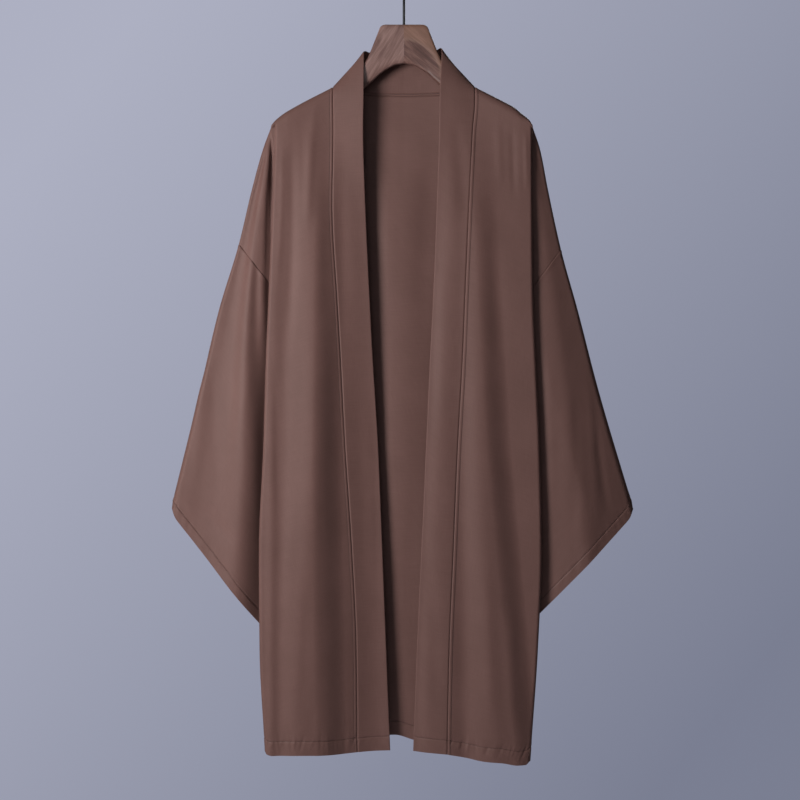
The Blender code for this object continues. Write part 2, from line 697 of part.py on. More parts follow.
def back_half(side):
    columns = []
    neck_out = NECK[-1][0]
    arm_outs = [blend(neck_out, tip(side)[0], share) for share in crowded(ARM_STEPS, ARM_CROWDING)[1:]]
    for top_out in (*(row[0] for row in NECK), *arm_outs):
        share = top_out / tip(side)[0]
        out = share * outline(side, "back_edge", FOLD_HEM)
        hem = read(BACK_HEM, HEM_COLUMNS, "out", "height", side * out)
        columns.append(flat_column("back", side, share, hem))
    hem_edge = read(BACK_HEM, HEM_COLUMNS, "out", "height", side * BACK_HEM_OUT)
    return columns + tuck_columns("back", side, hem_edge)


def make_back(finish):
    left = back_half(LEFT)
    right = back_half(RIGHT)
    return surface("back", left[::-1] + right[1:], finish)


def sleeve_ring(side, share):
    """Points round the sleeve at a share of its length from the armhole to the cuff."""
    a_out, a_height = wing_top(side, 1.0)
    cuff_height = SLEEVE_TOP[side][-1][0]
    top_height = blend(a_height, cuff_height, share)
    top_out = read(SLEEVE_TOP[side], SLEEVE_TOP_COLUMNS, "height", "out", top_height)
    low_out = blend(UNDERARM[side][0], CUFF_BOTTOM[side][0], share)
    low_height = blend(UNDERARM[side][1], CUFF_BOTTOM[side][1], share)
    length = math.hypot(top_out - low_out, top_height - low_height)
    front = []
    back = []
    for across in SLEEVE_ACROSS:
        out = blend(top_out, low_out, across)
        height = blend(top_height, low_height, across)
        centre = sleeve_middle(side, out, height)
        for layer, points in (("front", front), ("back", back)):
            level = sleeve_level(layer, side, out, height)
            radius = max(abs(level - centre), SLEEVE_THIN)
            opened = rolled(across * length, radius) * rolled((1 - across) * length, radius)
            points.append((side * out, blend(centre, level, opened), height))
    return front + back[-2:0:-1]


def make_sleeve(side, name, finish):
    rings = [sleeve_ring(side, k / SLEEVE_STEPS) for k in range(SLEEVE_STEPS + 1)]
    # The first ring stands a seam gap off the armhole, along the sleeve
    first, second = np.array(rings[0]), np.array(rings[1])
    away = second - first
    away[:, 1] = 0.0
    away /= np.linalg.norm(away, axis=1)[:, None]
    rings[0] = [tuple(point) for point in first + away * SLEEVE_START_GAP]
    columns = [list(column) for column in zip(*rings)]
    return surface(name, columns, finish, closed=True)


def straight_row(seam, free):
    """Points of the collar band from its seam to its free edge."""
    seam, free = np.array(seam), np.array(free)
    return [tuple(blend(seam, free, step / COLLAR_STEPS)) for step in range(COLLAR_STEPS + 1)]


def collar_half(side):
    """Rows of the band from the hem up to the middle of the neck, each from seam to free edge."""
    seam = flat_column("front", side, 0.0, FRONT_HEM[side][0][1])
    stations = []
    hem_seam = read(FRONT_HEM[side], HEM_COLUMNS, "out", "height", outline(side, "collar_seam", FOLD_HEM))
    hem_free = FRONT_HEM[side][0][1]
    top = seam[SHOULDER_STEPS][2]
    bottom = seam[-1][2]
    for k in range(len(seam) - 1, SHOULDER_STEPS - 1, -1):
        x, y, z = seam[k]
        out = outline(side, "opening", z)
        share = (top - z) / (top - bottom)
        seam_z = blend(top, hem_seam, share)
        free_z = blend(top, hem_free, share)
        seam_out = outline(side, "collar_seam", seam_z)
        if k == SHOULDER_STEPS:
            seam_out = abs(x)
        row = []
        for step in range(COLLAR_STEPS + 1):
            at_out = blend(seam_out, out, step / COLLAR_STEPS)
            at_z = blend(seam_z, free_z, step / COLLAR_STEPS)
            row.append((at_out, main_level("front", side, at_out, at_z), at_z))
        stations.append(row)
    low_out, low_y, low_z = stations[-1][-1]
    corner = dict(zip(BAND_COLUMNS, BAND_TURN[-1]))
    corner_out = BAND_CORNER_OUT[side]
    for k in range(SHOULDER_STEPS - 1, -1, -1):
        x, y, z = seam[k]
        share = 1 - k / SHOULDER_STEPS
        free = (
            blend(low_out, corner_out, ease(share)),
            blend(low_y, corner["back"], share**2),
            blend(low_z, corner["height"], share),
        )
        stations.append(straight_row((abs(x), y, z), free))
    widen = corner_out / corner["out"]
    for seam_out in BAND_STATIONS:
        row = {name: read(BAND_TURN, BAND_COLUMNS, "seam_out", name, seam_out) for name in BAND_COLUMNS}
        neck_seam = (seam_out, neck_level(seam_out), read(NECK, NECK_COLUMNS, "out", "height", seam_out))
        stations.append(straight_row(neck_seam, (row["out"] * widen, row["back"], row["height"])))
    return [[(side * x, y, z) for x, y, z in station] for station in stations]


def make_collar(finish):
    stations = collar_half(LEFT) + collar_half(RIGHT)[-2::-1]
    columns = []
    for station in stations:
        row = np.array(station)
        across = row[-1] - row[0]
        # The band starts half a seam gap from the panels, and clear of their walls where it bends up
        turned = ease((row[0][2] - BAND_BENDS_FROM) / BAND_BENDS_OVER)
        row[0] += across / np.linalg.norm(across) * (HALF_GAP + BAND_BEND_GAP * turned)
        columns.append([tuple(point) for point in row])
    return surface("collar", columns, finish)


def make_hanger_half(side, name, finish):
    """Half of the hanger, lofted along the arm, with a groove for the hook's shank."""
    mesh = bpy.data.meshes.new(name)
    shape = bmesh.new()
    rings = []
    for row in ARM:
        arm = dict(zip(ARM_COLUMNS, row))
        middle = (arm["top"] + arm["bottom"]) / 2
        half_high = (arm["top"] - arm["bottom"]) / 2
        x = side * max(arm["out"], HALF_GAP)
        ring = []
        for k in range(ARM_POINTS):
            angle = 2 * math.pi * k / ARM_POINTS
            across = math.copysign(abs(math.cos(angle)) ** (2 / ARM_ROUNDNESS), math.cos(angle))
            up = math.copysign(abs(math.sin(angle)) ** (2 / ARM_ROUNDNESS), math.sin(angle))
            ring.append(shape.verts.new((x, arm["half_thick"] * across, middle + half_high * up)))
        rings.append(ring)
    for one, two in zip(rings, rings[1:]):
        for k in range(ARM_POINTS):
            after = (k + 1) % ARM_POINTS
            shape.faces.new((one[k], one[after], two[after], two[k]))
    shape.faces.new(rings[0])
    shape.faces.new(rings[-1])
    bmesh.ops.recalc_face_normals(shape, faces=shape.faces)
    shape.to_mesh(mesh)
    shape.free()
    mesh.materials.append(finish)
    mesh.shade_smooth()
    thing = bpy.data.objects.new(name, mesh)
    kimono.objects.link(thing)
    return thing


def make_bore():
    """The hole that the shank sits in, cut half into each side of the hanger."""
    depth_cut = SHANK_DEPTH + SEAM_GAP
    bpy.ops.mesh.primitive_cylinder_add(vertices=16, radius=WIRE_RADIUS + SEAM_GAP, depth=2 * depth_cut)
    bore = bpy.context.active_object
    bore.name = "shank_bore"
    bore.location = (0.0, 0.0, HEAD_TOP)
    for holder in list(bore.users_collection):
        holder.objects.unlink(bore)
    cutters.objects.link(bore)
    bore.hide_render = True
    bore.display_type = "WIRE"
    return bore


def cut(thing, cutter):
    opening = thing.modifiers.new("bore", "BOOLEAN")
    opening.operation = "DIFFERENCE"
    opening.object = cutter


def make_hook(finish):
    """Shank, neck and bow of the hook, one wire of round steel."""
    points = [(0.0, 0.0, height) for height in (HEAD_TOP - SHANK_DEPTH, HEAD_TOP, HOOK_NECK_LOW)]
    neck_out = HOOK_RADIUS * math.sin(math.radians(HOOK_NECK_TURN))
    neck_high = HOOK_MIDDLE - HOOK_RADIUS * math.cos(math.radians(HOOK_NECK_TURN))
    for k in range(1, HOOK_NECK_STEPS + 1):
        share = k / HOOK_NECK_STEPS
        points.append((neck_out * ease(share), 0.0, blend(HOOK_NECK_LOW, neck_high, share)))
    for k in range(1, BOW_STEPS + 1):
        angle = math.radians(blend(BOW_START, BOW_END, k / BOW_STEPS))
        points.append((HOOK_RADIUS * math.cos(angle), 0.0, HOOK_MIDDLE + HOOK_RADIUS * math.sin(angle)))
    wire = bpy.data.curves.new("hook", "CURVE")
    wire.dimensions = "3D"
    wire.bevel_depth = WIRE_RADIUS
    wire.bevel_resolution = 2
    wire.use_fill_caps = True
    line = wire.splines.new("POLY")
    line.points.add(len(points) - 1)
    for place, point in zip(line.points, points):
        place.co = (*point, 1.0)
    wire.materials.append(finish)
    thing = bpy.data.objects.new("hook", wire)
    kimono.objects.link(thing)
    return thing


clear_scene()
crepe = material("crepe", (0.165, 0.088, 0.080), 0.72)
walnut = material("walnut", (0.210, 0.115, 0.085), 0.42)
steel = material("dark_steel", (0.060, 0.060, 0.065), 0.35, metallic=1.0)

make_back(crepe)
make_front(LEFT, "front_left", crepe)
make_front(RIGHT, "front_right", crepe)
make_sleeve(LEFT, "sleeve_left", crepe)
make_sleeve(RIGHT, "sleeve_right", crepe)
make_collar(crepe)
bore = make_bore()
for side, name in ((LEFT, "hanger_left"), (RIGHT, "hanger_right")):
    cut(make_hanger_half(side, name, walnut), bore)
make_hook(steel)
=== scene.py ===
import math

import bmesh
import bpy
import numpy as np
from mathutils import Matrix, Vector


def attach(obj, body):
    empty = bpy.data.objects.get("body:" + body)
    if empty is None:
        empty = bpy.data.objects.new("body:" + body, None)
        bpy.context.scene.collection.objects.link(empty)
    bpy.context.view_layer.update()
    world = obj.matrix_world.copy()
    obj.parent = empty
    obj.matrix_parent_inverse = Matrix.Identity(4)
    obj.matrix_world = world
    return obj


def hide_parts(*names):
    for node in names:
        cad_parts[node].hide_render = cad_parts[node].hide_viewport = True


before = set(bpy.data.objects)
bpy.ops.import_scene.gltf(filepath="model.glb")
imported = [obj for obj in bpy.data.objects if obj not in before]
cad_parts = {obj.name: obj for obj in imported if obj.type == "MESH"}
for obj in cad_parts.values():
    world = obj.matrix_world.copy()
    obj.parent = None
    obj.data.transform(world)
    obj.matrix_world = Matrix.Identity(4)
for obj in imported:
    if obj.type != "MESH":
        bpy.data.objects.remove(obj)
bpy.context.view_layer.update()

# The wooden hanger. Two arms of walnut, sawn to a long bend and glued end to end at the middle, so
# that the grain runs down along each arm and meets in a chevron. The edges are rounded over and the
# wood is rubbed with satin lacquer. Each half stands in its plain solid's place.
LEFT, RIGHT = -1, 1
ARM = {
    "out": (0, .012, .029, .034, .0375, .0395, .045, .052, .059, .067, .076, .088, .1, .111,
            .155, .172, .183, .19, .195, .1975),
    "top": (-.0895, -.0895, -.0895, -.0908, -.094, -.099, -.113, -.1305, -.1455, -.156, -.1645,
            -.174, -.182, -.1892, -.2118, -.2215, -.2312, -.239, -.2455, -.25),
    "bottom": (-.15, -.1518, -.1605, -.164, -.1665, -.1682, -.1735, -.18, -.1862, -.1925, -.1985,
               -.2065, -.2145, -.2205, -.2445, -.2535, -.259, -.261, -.26, -.2575),
    "half_thick": (.0065, .0065, .0065, .0065, .0065, .0066, .0067, .0069, .0071, .0073, .0076,
                   .008, .0084, .0088, .013, .0148, .0156, .0146, .0115, .006),
}
HEAD_SQUARENESS = 5.0      # exponent of the section: flat faces with round edges at the head
ARM_SQUARENESS = 2.6       # and a full round where the cloth lies on it
HEAD_ENDS, ARM_BEGINS = 0.045, 0.100
SHARP_EDGE = math.radians(50)
GLUE_LINE = 0.00003
# Repeats of the grain in a metre: across it, through the wood and along it
FIGURE = (190.0, 80.0, 17.0)
FIBRES = (1900.0, 1100.0, 70.0)
PORES = (2600.0, 2600.0, 170.0)
PORE_DEPTH = 0.0002
PALE_WALNUT = ((0.135, 0.068, 0.060), (0.225, 0.128, 0.113), (0.330, 0.205, 0.185))
DARK_WALNUT = ((0.070, 0.030, 0.026), (0.130, 0.062, 0.052), (0.255, 0.140, 0.118))
SAPWOOD = (0.330, 0.180, 0.125)
GROWTH_RING = (0.430, 0.290, 0.235)
RING_MIDDLE = (-0.0041, 0.0, -0.1759)      # one pale growth ring shows as an arc on the right half
RING_RADIUS = 0.0626
RING_WIDTH = 0.0044


def curve(table, by, wanted):
    """Reads a table at any place, on a smooth line through its values that never overshoots them."""
    order = np.argsort(table[by])
    places, values = np.array(table[by])[order], np.array(table[wanted])[order]
    widths = np.diff(places)
    slopes = np.diff(values) / widths
    same_way = slopes[:-1] * slopes[1:] > 0
    both = np.where(same_way, slopes[:-1] + slopes[1:], 1.0)
    bends = np.where(same_way, 2 * slopes[:-1] * slopes[1:] / both, 0.0)
    tangents = np.concatenate(([slopes[0]], bends, [slopes[-1]]))

    def at(place):
        place = np.clip(place, places[0], places[-1])
        i = np.clip(np.searchsorted(places, place) - 1, 0, len(widths) - 1)
        t = (place - places[i]) / widths[i]
        start = (1 + 2 * t) * (1 - t) ** 2 * values[i] + t * (1 - t) ** 2 * widths[i] * tangents[i]
        return start + t**2 * (3 - 2 * t) * values[i + 1] + t**2 * (t - 1) * widths[i] * tangents[i + 1]

    return at


def grid_faces(columns, rows, closed=False):
    """Corner numbers of the faces between columns of points."""
    c = np.arange(columns if closed else columns - 1)[:, None]
    r = np.arange(rows - 1)[None]
    after = (c + 1) % columns
    corners = (c * rows + r, after * rows + r, after * rows + r + 1, c * rows + r + 1)
    return np.stack(corners, axis=-1).reshape(-1, 4)


def new_object(name, mesh, *materials):
    thing = bpy.data.objects.new(name, mesh)
    bpy.context.scene.collection.objects.link(thing)
    for material in materials:
        mesh.materials.append(material)
    mesh.shade_smooth()
    return thing


def new_material(name):
    """A material, its node tree and its main shader."""
    material = bpy.data.materials.new(name)
    material.use_nodes = True
    return material, material.node_tree, material.node_tree.nodes["Principled BSDF"]


def add(tree, kind, inputs=None, **properties):
    """A shader node. Inputs are values or the sockets that feed them."""
    node = tree.nodes.new("ShaderNode" + kind)
    for name, value in properties.items():
        setattr(node, name, value)
    for name, value in (inputs or {}).items():
        if isinstance(value, bpy.types.Node):
            value = value.outputs[0]
        if isinstance(value, bpy.types.NodeSocket):
            tree.links.new(value, node.inputs[name])
        else:
            node.inputs[name].default_value = value
    return node


def ramp(tree, source, *stops):
    """Colours or greys along a value."""
    node = add(tree, "ValToRGB", {"Fac": source})
    for k, (place, color) in enumerate(stops):
        stop = node.color_ramp.elements[k] if k < 2 else node.color_ramp.elements.new(place)
        stop.position = place
        stop.color = (*color, 1.0) if hasattr(color, "__len__") else (color, color, color, 1.0)
    return node.outputs["Color"]


def stretched(tree, place, scale, kind, **properties):
    """A texture node of scale 1 whose place is stretched by this scale first."""
    place = add(tree, "Mapping", {"Vector": place, "Scale": scale})
    return add(tree, kind, {"Vector": place, "Scale": 1.0, **properties})


def make_walnut(name, tones, lean, shift, ringed):
    """Walnut whose grain leans this many degrees from upright. Shift picks another part of the plank."""
    material, tree, shader = new_material(name)
    place = add(tree, "TexCoord").outputs["Object"]
    turn = (0, math.radians(lean), 0)
    along = add(tree, "Mapping", {"Vector": place, "Rotation": turn, "Location": shift})
    figure = stretched(tree, along, FIGURE, "TexNoise", Detail=5.0, Distortion=0.9)
    fibres = stretched(tree, along, FIBRES, "TexNoise", Detail=3.0)
    pores = stretched(tree, along, PORES, "TexVoronoi", Randomness=1.0)
    pore = ramp(tree, pores.outputs["Distance"], (0.0, 0.0), (0.34, 1.0))
    mixed = add(tree, "Math", {0: fibres.outputs["Fac"], 1: 0.42}, operation="MULTIPLY")
    grain = add(tree, "Math", {0: figure.outputs["Fac"], 1: mixed}, operation="ADD")
    tone = ramp(tree, grain.outputs[0], (0.46, tones[0]), (0.94, tones[2]), (0.70, tones[1]))
    if ringed:
        split = add(tree, "SeparateXYZ", {"Vector": place})
        level = add(tree, "CombineXYZ", {"X": split.outputs["X"], "Z": split.outputs["Z"]})
        blurred = add(tree, "Math", {0: figure.outputs["Fac"], 1: 0.006}, operation="MULTIPLY")
        reach = add(tree, "VectorMath", {0: level, 1: RING_MIDDLE}, operation="DISTANCE")
        reach = add(tree, "Math", {0: reach.outputs["Value"], 1: blurred}, operation="ADD").outputs[0]
        beyond = ramp(tree, reach, (RING_RADIUS, 0.0), (RING_RADIUS + 0.008, 0.46))
        pale = add(tree, "Mix", {"Factor": beyond, "A": tone, "B": (*SAPWOOD, 1.0)}, data_type="RGBA")
        ring = (RING_RADIUS, 0.0), (RING_RADIUS + RING_WIDTH, 0.0), (RING_RADIUS + RING_WIDTH / 2, 0.75)
        drawn = {"Factor": ramp(tree, reach, *ring), "A": pale.outputs["Result"], "B": (*GROWTH_RING, 1.0)}
        tone = add(tree, "Mix", drawn, data_type="RGBA").outputs["Result"]
    color = add(tree, "Mix", {"Factor": 0.30, "A": tone, "B": pore}, data_type="RGBA", blend_type="MULTIPLY")
    tree.links.new(color.outputs["Result"], shader.inputs["Base Color"])
    gloss = ramp(tree, grain.outputs[0], (0.4, 0.50), (0.9, 0.36))
    tree.links.new(gloss, shader.inputs["Roughness"])
    relief = add(tree, "Mix", {"Factor": 0.5, "A": fibres.outputs["Fac"], "B": pore}, data_type="FLOAT")
    relief = relief.outputs["Result"]
    bump = add(tree, "Bump", {"Height": relief, "Strength": 0.35, "Distance": PORE_DEPTH})
    tree.links.new(bump.outputs["Normal"], shader.inputs["Normal"])
    shader.inputs["Coat Weight"].default_value = 0.12
    shader.inputs["Coat Roughness"].default_value = 0.28
    shader.inputs["Specular IOR Level"].default_value = 0.45
    return material


def make_wood(side, name, material):
    """Half of the hanger: rings of points along the arm, with a flat end at the glue line."""
    stations, around = 150, 56
    run = np.linspace(0, 1, stations)
    # Closest where the head bends into the arm
    out = np.interp(run, (0, 0.12, 0.52, 0.86, 1), (0, 0.027, 0.070, 0.185, 0.1975))
    top, bottom, thick = (curve(ARM, "out", wanted)(out) for wanted in ("top", "bottom", "half_thick"))
    power = np.interp(out, (HEAD_ENDS, ARM_BEGINS), (HEAD_SQUARENESS, ARM_SQUARENESS))
    angle = np.linspace(0, 2 * math.pi, around, endpoint=False)[:, None]
    across = np.sign(np.cos(angle)) * np.abs(np.cos(angle)) ** (2 / power)
    up = np.sign(np.sin(angle)) * np.abs(np.sin(angle)) ** (2 / power)
    x = np.broadcast_to(side * np.maximum(out, GLUE_LINE), across.shape)
    points = np.stack([x, thick * across, (top + bottom) / 2 + (top - bottom) / 2 * up], axis=-1)
    mesh = bpy.data.meshes.new(name)
    faces = grid_faces(around, stations, closed=True).tolist()
    ends = [[k * stations for k in range(around)], [k * stations + stations - 1 for k in range(around)]]
    mesh.from_pydata(points.reshape(-1, 3), [], faces + ends)
    shape = bmesh.new()
    shape.from_mesh(mesh)
    bmesh.ops.recalc_face_normals(shape, faces=shape.faces)
    shape.to_mesh(mesh)
    shape.free()
    thing = new_object(name, mesh, material)
    mesh.set_sharp_from_angle(angle=SHARP_EDGE)
    return thing


pale_walnut = make_walnut("walnut_left", PALE_WALNUT, -31.0, (0.30, 0.10, 0.0), ringed=False)
dark_walnut = make_walnut("walnut_right", DARK_WALNUT, 50.0, (0.0, 0.40, 0.25), ringed=True)
for side, name, node, walnut in (
    (LEFT, "wood_left", "hanger_left", pale_walnut),
    (RIGHT, "wood_right", "hanger_right", dark_walnut),
):
    wood = make_wood(side, name, walnut)
    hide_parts(node)
    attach(wood, "root")

# The hook. One round wire of darkened steel, bent to a bow over the rail and driven into a bore in
# the head of the hanger. Its cut end is filed round. It stands in its plain solid's place.
WIRE_RADIUS = 0.0020
BOW_RADIUS = 0.0240
BOW_MIDDLE = -(BOW_RADIUS - WIRE_RADIUS)
NECK_LOW = -0.050
BOW_FROM, BOW_TO = -28, 205      # degrees round from the level, at the neck and at the cut end
NECK_TURN = math.radians(90 + BOW_FROM)
WOOD_TOP = ARM["top"][0]
BORE_DEPTH = 0.022
END_RADII = (1.0, 0.93, 0.6)     # shares of the wire's radius where its end is filed round
SCRATCHES = (2200.0, 2200.0, 120.0)


def make_steel():
    material, tree, shader = new_material("dark_steel")
    place = add(tree, "TexCoord").outputs["Object"]
    scratches = stretched(tree, place, SCRATCHES, "TexNoise", Detail=4.0).outputs["Fac"]
    tree.links.new(ramp(tree, scratches, (0.3, 0.26), (0.7, 0.46)), shader.inputs["Roughness"])
    tone = ramp(tree, scratches, (0.3, (0.040, 0.040, 0.045)), (0.75, (0.085, 0.085, 0.092)))
    tree.links.new(tone, shader.inputs["Base Color"])
    bump = add(tree, "Bump", {"Height": scratches, "Strength": 0.15, "Distance": 0.0001})
    tree.links.new(bump.outputs["Normal"], shader.inputs["Normal"])
    shader.inputs["Metallic"].default_value = 1.0
    return material


def make_hook():
    """The wire's line, from inside the wood over the bow to its end, swept with a round section."""
    shank = [(0.0, 0.0, z) for z in np.linspace(WOOD_TOP - BORE_DEPTH, NECK_LOW, 12)]
    rise = np.linspace(0, 1, 14)[1:]
    neck_out = BOW_RADIUS * math.sin(NECK_TURN)
    neck_high = BOW_MIDDLE - BOW_RADIUS * math.cos(NECK_TURN)
    neck = [(neck_out * t * t * (3 - 2 * t), 0.0, NECK_LOW + (neck_high - NECK_LOW) * t) for t in rise]
    turns = np.radians(np.linspace(BOW_FROM, BOW_TO, 60)[1:])
    bow = [(BOW_RADIUS * math.cos(a), 0.0, BOW_MIDDLE + BOW_RADIUS * math.sin(a)) for a in turns]
    line = bpy.data.curves.new("hook_line", "CURVE")
    line.dimensions = "3D"
    line.bevel_depth = WIRE_RADIUS
    line.bevel_resolution = 5
    line.use_fill_caps = True
    points = shank + neck + bow
    spline = line.splines.new("POLY")
    spline.points.add(len(points) - 1)
    for k, point in enumerate(points):
        spline.points[k].co = (*point, 1.0)
        spline.points[k].radius = END_RADII[max(0, k - len(points) + len(END_RADII))]
    wire = bpy.data.objects.new("hook_line", line)
    bpy.context.scene.collection.objects.link(wire)
    mesh = bpy.data.meshes.new_from_object(wire.evaluated_get(bpy.context.evaluated_depsgraph_get()))
    bpy.data.objects.remove(wire)
    shape = bmesh.new()
    shape.from_mesh(mesh)
    bmesh.ops.remove_doubles(shape, verts=shape.verts, dist=0.00001)
    shape.to_mesh(mesh)
    shape.free()
    return new_object("hook_wire", mesh, make_steel())


hook = make_hook()
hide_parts("hook")
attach(hook, "root")

# The back. One width of crepe, sewn to the fronts along the shoulders and to the collar behind the
# neck. It is far wider than the hanger, so each side turns back at an outer fold, runs inward as a
# tuck to the side seam, and above the underarm turns out again to carry the sleeve.
CLOTH = 0.0008
HALF_GAP = 0.00015                   # half the gap of the shoulder seam
REST_GAP = 0.0012                    # between the cloth's middle and the wood
ON_ARM = (0.111, 0.183)              # from here out to here the cloth lies on the arm
OFF_ARM_SLOPE = 0.12                 # and inside that a front leans forward this much for each metre
LEAVES_ARM = 0.22                    # height over which a panel swings clear below the arm
EDGE_RADII = (0.0035, 0.0048)        # of the outer fold, at the hanger's tip and lower down
TIP_SINK = 0.005
TOP_SEAM_GAP = 0.0004
NECK_TOP = -0.190
SIDE_SEAM_OUT = 0.076
SIDE_SEAM_BACK = 0.012
SIDE_TUCK_HEM = -1.223
UNDERARM_OPEN = 0.006
TUCK_CURVE = 1.3                     # above 1, the tuck turns in more steeply beside the side seam
TUCK_BEGINS = 0.06                   # share of the tuck at its first column, beside the outer fold
TUCK_NEAR_TIP = 0.2                  # share over which it takes on the flat part's top and hem
TUCK_SEWN = 0.999                    # share beyond which it is the side seam itself
CREASE_LEAST = 0.0005
TOP_FOLD_LEAST = 0.003
# Half the depth of a sleeve: everywhere, more beside the tip, more again towards the cuff, and least
SPREAD, SPREAD_AT_TIP, SPREAD_LOWER, SPREAD_LEAST = 0.005, 0.005, 0.008, 0.002
SPREAD_ACROSS = (0.0, 0.3, 0.6, 1.0), (0.75, 1.0, 0.7, 0.2)
SPREAD_REACH = 0.25
SLEEVE_FOLDS_BEGIN = 0.1             # height below the tip over which the sleeve's folds fade in
SLEEVE_FOLDS_GROW = 0.5              # and the height over which they then take on their cuff's size
# The sleeves swing back as they fall. The right one comes forward to a ridge and then turns back
SLEEVE_SWING = 0.010
SLEEVE_LEAN = {LEFT: 0.00, RIGHT: -0.14}
SLEEVE_BEND = {LEFT: 0.00, RIGHT: 0.40}
RIDGE_LEAN = 0.125
RIDGE_ROUND = 0.008
FOLD_HEIGHTS = (-1.220, -0.750, -0.300)
HEM_DEPTH = 0.022
HEM_TURNED_UP = 0.00035
HEM_GROOVE, HEM_GROOVE_WIDE = 0.0007, 0.0011
HEM_ROWS = np.array((60, 54, 49, 44, 40, 36.5, 33.5, 31, 29, 27.2, 25.8, 24.7, 23.8, 23.1, 22.5, 22,
                     21.5, 20.9, 20.2, 19.2, 17.8, 16, 14, 12, 10, 8, 6, 4, 2.4, 1.2, 0.5, 0.12, 0)) / 1000
HEM_STITCH_ROW = int(np.argmin(np.abs(HEM_ROWS - HEM_DEPTH))) - len(HEM_ROWS)
# Puckers that a hem's stitches pull: their spacing, half width, reach, rise and slant
PUCKER_SPACING = (0.004, 0.013)
PUCKER_WIDE = (0.0016, 0.0028)
PUCKER_REACH = (0.006, 0.013)
PUCKER_RISE = (0.0002, 0.0009)
PUCKER_SLANT = (-0.1, 0.5)
STITCH_PITCH = 0.0030
STITCH_LENGTH = 0.0024
STITCH_RINGS = 5
# The thread is thick and far darker than the crepe: its colour is partly the thread's own and partly painted
# shade, standing in for the shadow in the sunk stitch lines.
THREAD_RADIUS = 0.00027
THREAD_SIDES = 5
THREAD_AND_PAINTED_SHADE_COLOR = (0.030, 0.013, 0.011, 1.0)
CREPE_DARK, CREPE_PALE = (0.138, 0.070, 0.061), (0.168, 0.0865, 0.0765)
WEAVE_PITCHES = (0.00058, 0.00052)
WARP_STREAKS = (900.0, 45.0, 1.0)    # repeats in a metre across and down the cloth
WEFT_STREAKS = (40.0, 700.0, 1.0)
WEAVE_DEPTH = 0.00016
NECK_STITCH_BELOW = 0.0030
NECK_STITCH_ENDS = 0.104
NECK_GROOVE, NECK_GROOVE_WIDE = 0.0009, 0.0010
BESIDE_NECK = 0.090                  # the columns are closer together beyond this
TOP_ROWS = 36
FALL_ROWS = 150
TUCK_COLUMNS = 34
DEPTH = {
    "height": (-0.190, -0.300, -0.450, -0.700, -1.000, -1.245),
    "front": (-0.0120, -0.0190, -0.0230, -0.0280, -0.0300, -0.0300),
    "back": (0.0200, 0.0215, 0.0230, 0.0260, 0.0290, 0.0310),
}
NECK = {
    "out": (0.0000, 0.0450, 0.0750, 0.0950, 0.1010, 0.1060, 0.1085, 0.1110),
    "back": (0.0190, 0.0180, 0.0155, 0.0120, 0.0095, 0.0060, 0.0030, 0.0000),
    "height": (-0.1955, -0.1945, -0.1925, -0.1898, -0.1876, -0.1864, -0.1867, -0.1878),
}
BACK_HEM = {
    "out": (-0.212, -0.120, -0.014, 0.020, 0.100, 0.190),
    "height": (-1.2225, -1.2230, -1.2085, -1.2175, -1.2250, -1.2225),
}
BACK_HEM_EDGE = 0.21
# Large folds: distance out at the hem, middle and top, half width, and rise at the same heights
BACK_FOLDS = (
    ((-0.160, -0.168, -0.175), 0.026, (0.007, 0.005, 0.002)),
    ((-0.098, -0.112, -0.130), 0.022, (-0.007, -0.006, -0.002)),
    ((-0.064, -0.068, -0.075), 0.022, (0.003, 0.002, 0.000)),
    ((-0.004, -0.008, -0.010), 0.056, (-0.001, -0.009, -0.008)),
    ((0.090, 0.084, 0.085), 0.026, (0.007, 0.005, 0.001)),
    ((0.148, 0.142, 0.140), 0.022, (-0.007, -0.006, -0.002)),
    ((0.186, 0.186, 0.178), 0.016, (0.004, 0.003, 0.001)),
)
# Sleeve folds fall in lines from the hanger's tip: distance out for each metre down, at the armhole
# and at the cuff, its half width, and the rise at both
SLEEVE_FOLDS = {
    ("front", LEFT): (
        (0.245, 0.190, 0.032, -0.001, -0.001),
        (0.150, 0.078, 0.042, 0.008, 0.013),
        (0.085, -0.040, 0.033, 0.007, 0.000),
        (0.005, 0.008, 0.030, -0.009, -0.013),
    ),
    ("front", RIGHT): ((0.020, 0.020, 0.120, 0.004, 0.006),),
    ("back", LEFT): ((0.240, 0.180, 0.035, 0.001, 0.004), (0.160, 0.090, 0.035, -0.001, -0.004)),
    ("back", RIGHT): ((0.230, 0.190, 0.035, -0.001, -0.004), (0.170, 0.100, 0.035, 0.001, 0.005)),
}


class Half:
    """One side of the robe: how it is cut and how it hangs, in metres out from the middle."""

    def __init__(self, side, outline, shoulder, sleeve_top, armhole_top, underarm, cuff_bottom, front_hem):
        self.side = side
        self.edge = {layer: curve(outline, "height", layer + "_edge") for layer in ("front", "back")}
        self.opening = curve(outline, "height", "opening")
        self.collar_seam = curve(outline, "height", "collar_seam")
        self.crest = curve(shoulder, "out", "height")
        self.top_line = curve(sleeve_top, "height", "out")
        self.tip = (shoulder["out"][-1], shoulder["height"][-1])
        self.armhole_top = armhole_top
        self.underarm = underarm
        self.cuff_top = sleeve_top["height"][-1]
        self.cuff_bottom = cuff_bottom
        self.front_hem = curve(front_hem, "out", "height")
        self.hem_at_edge = front_hem["height"][-1]
        self.hem_at_opening = front_hem["height"][0]


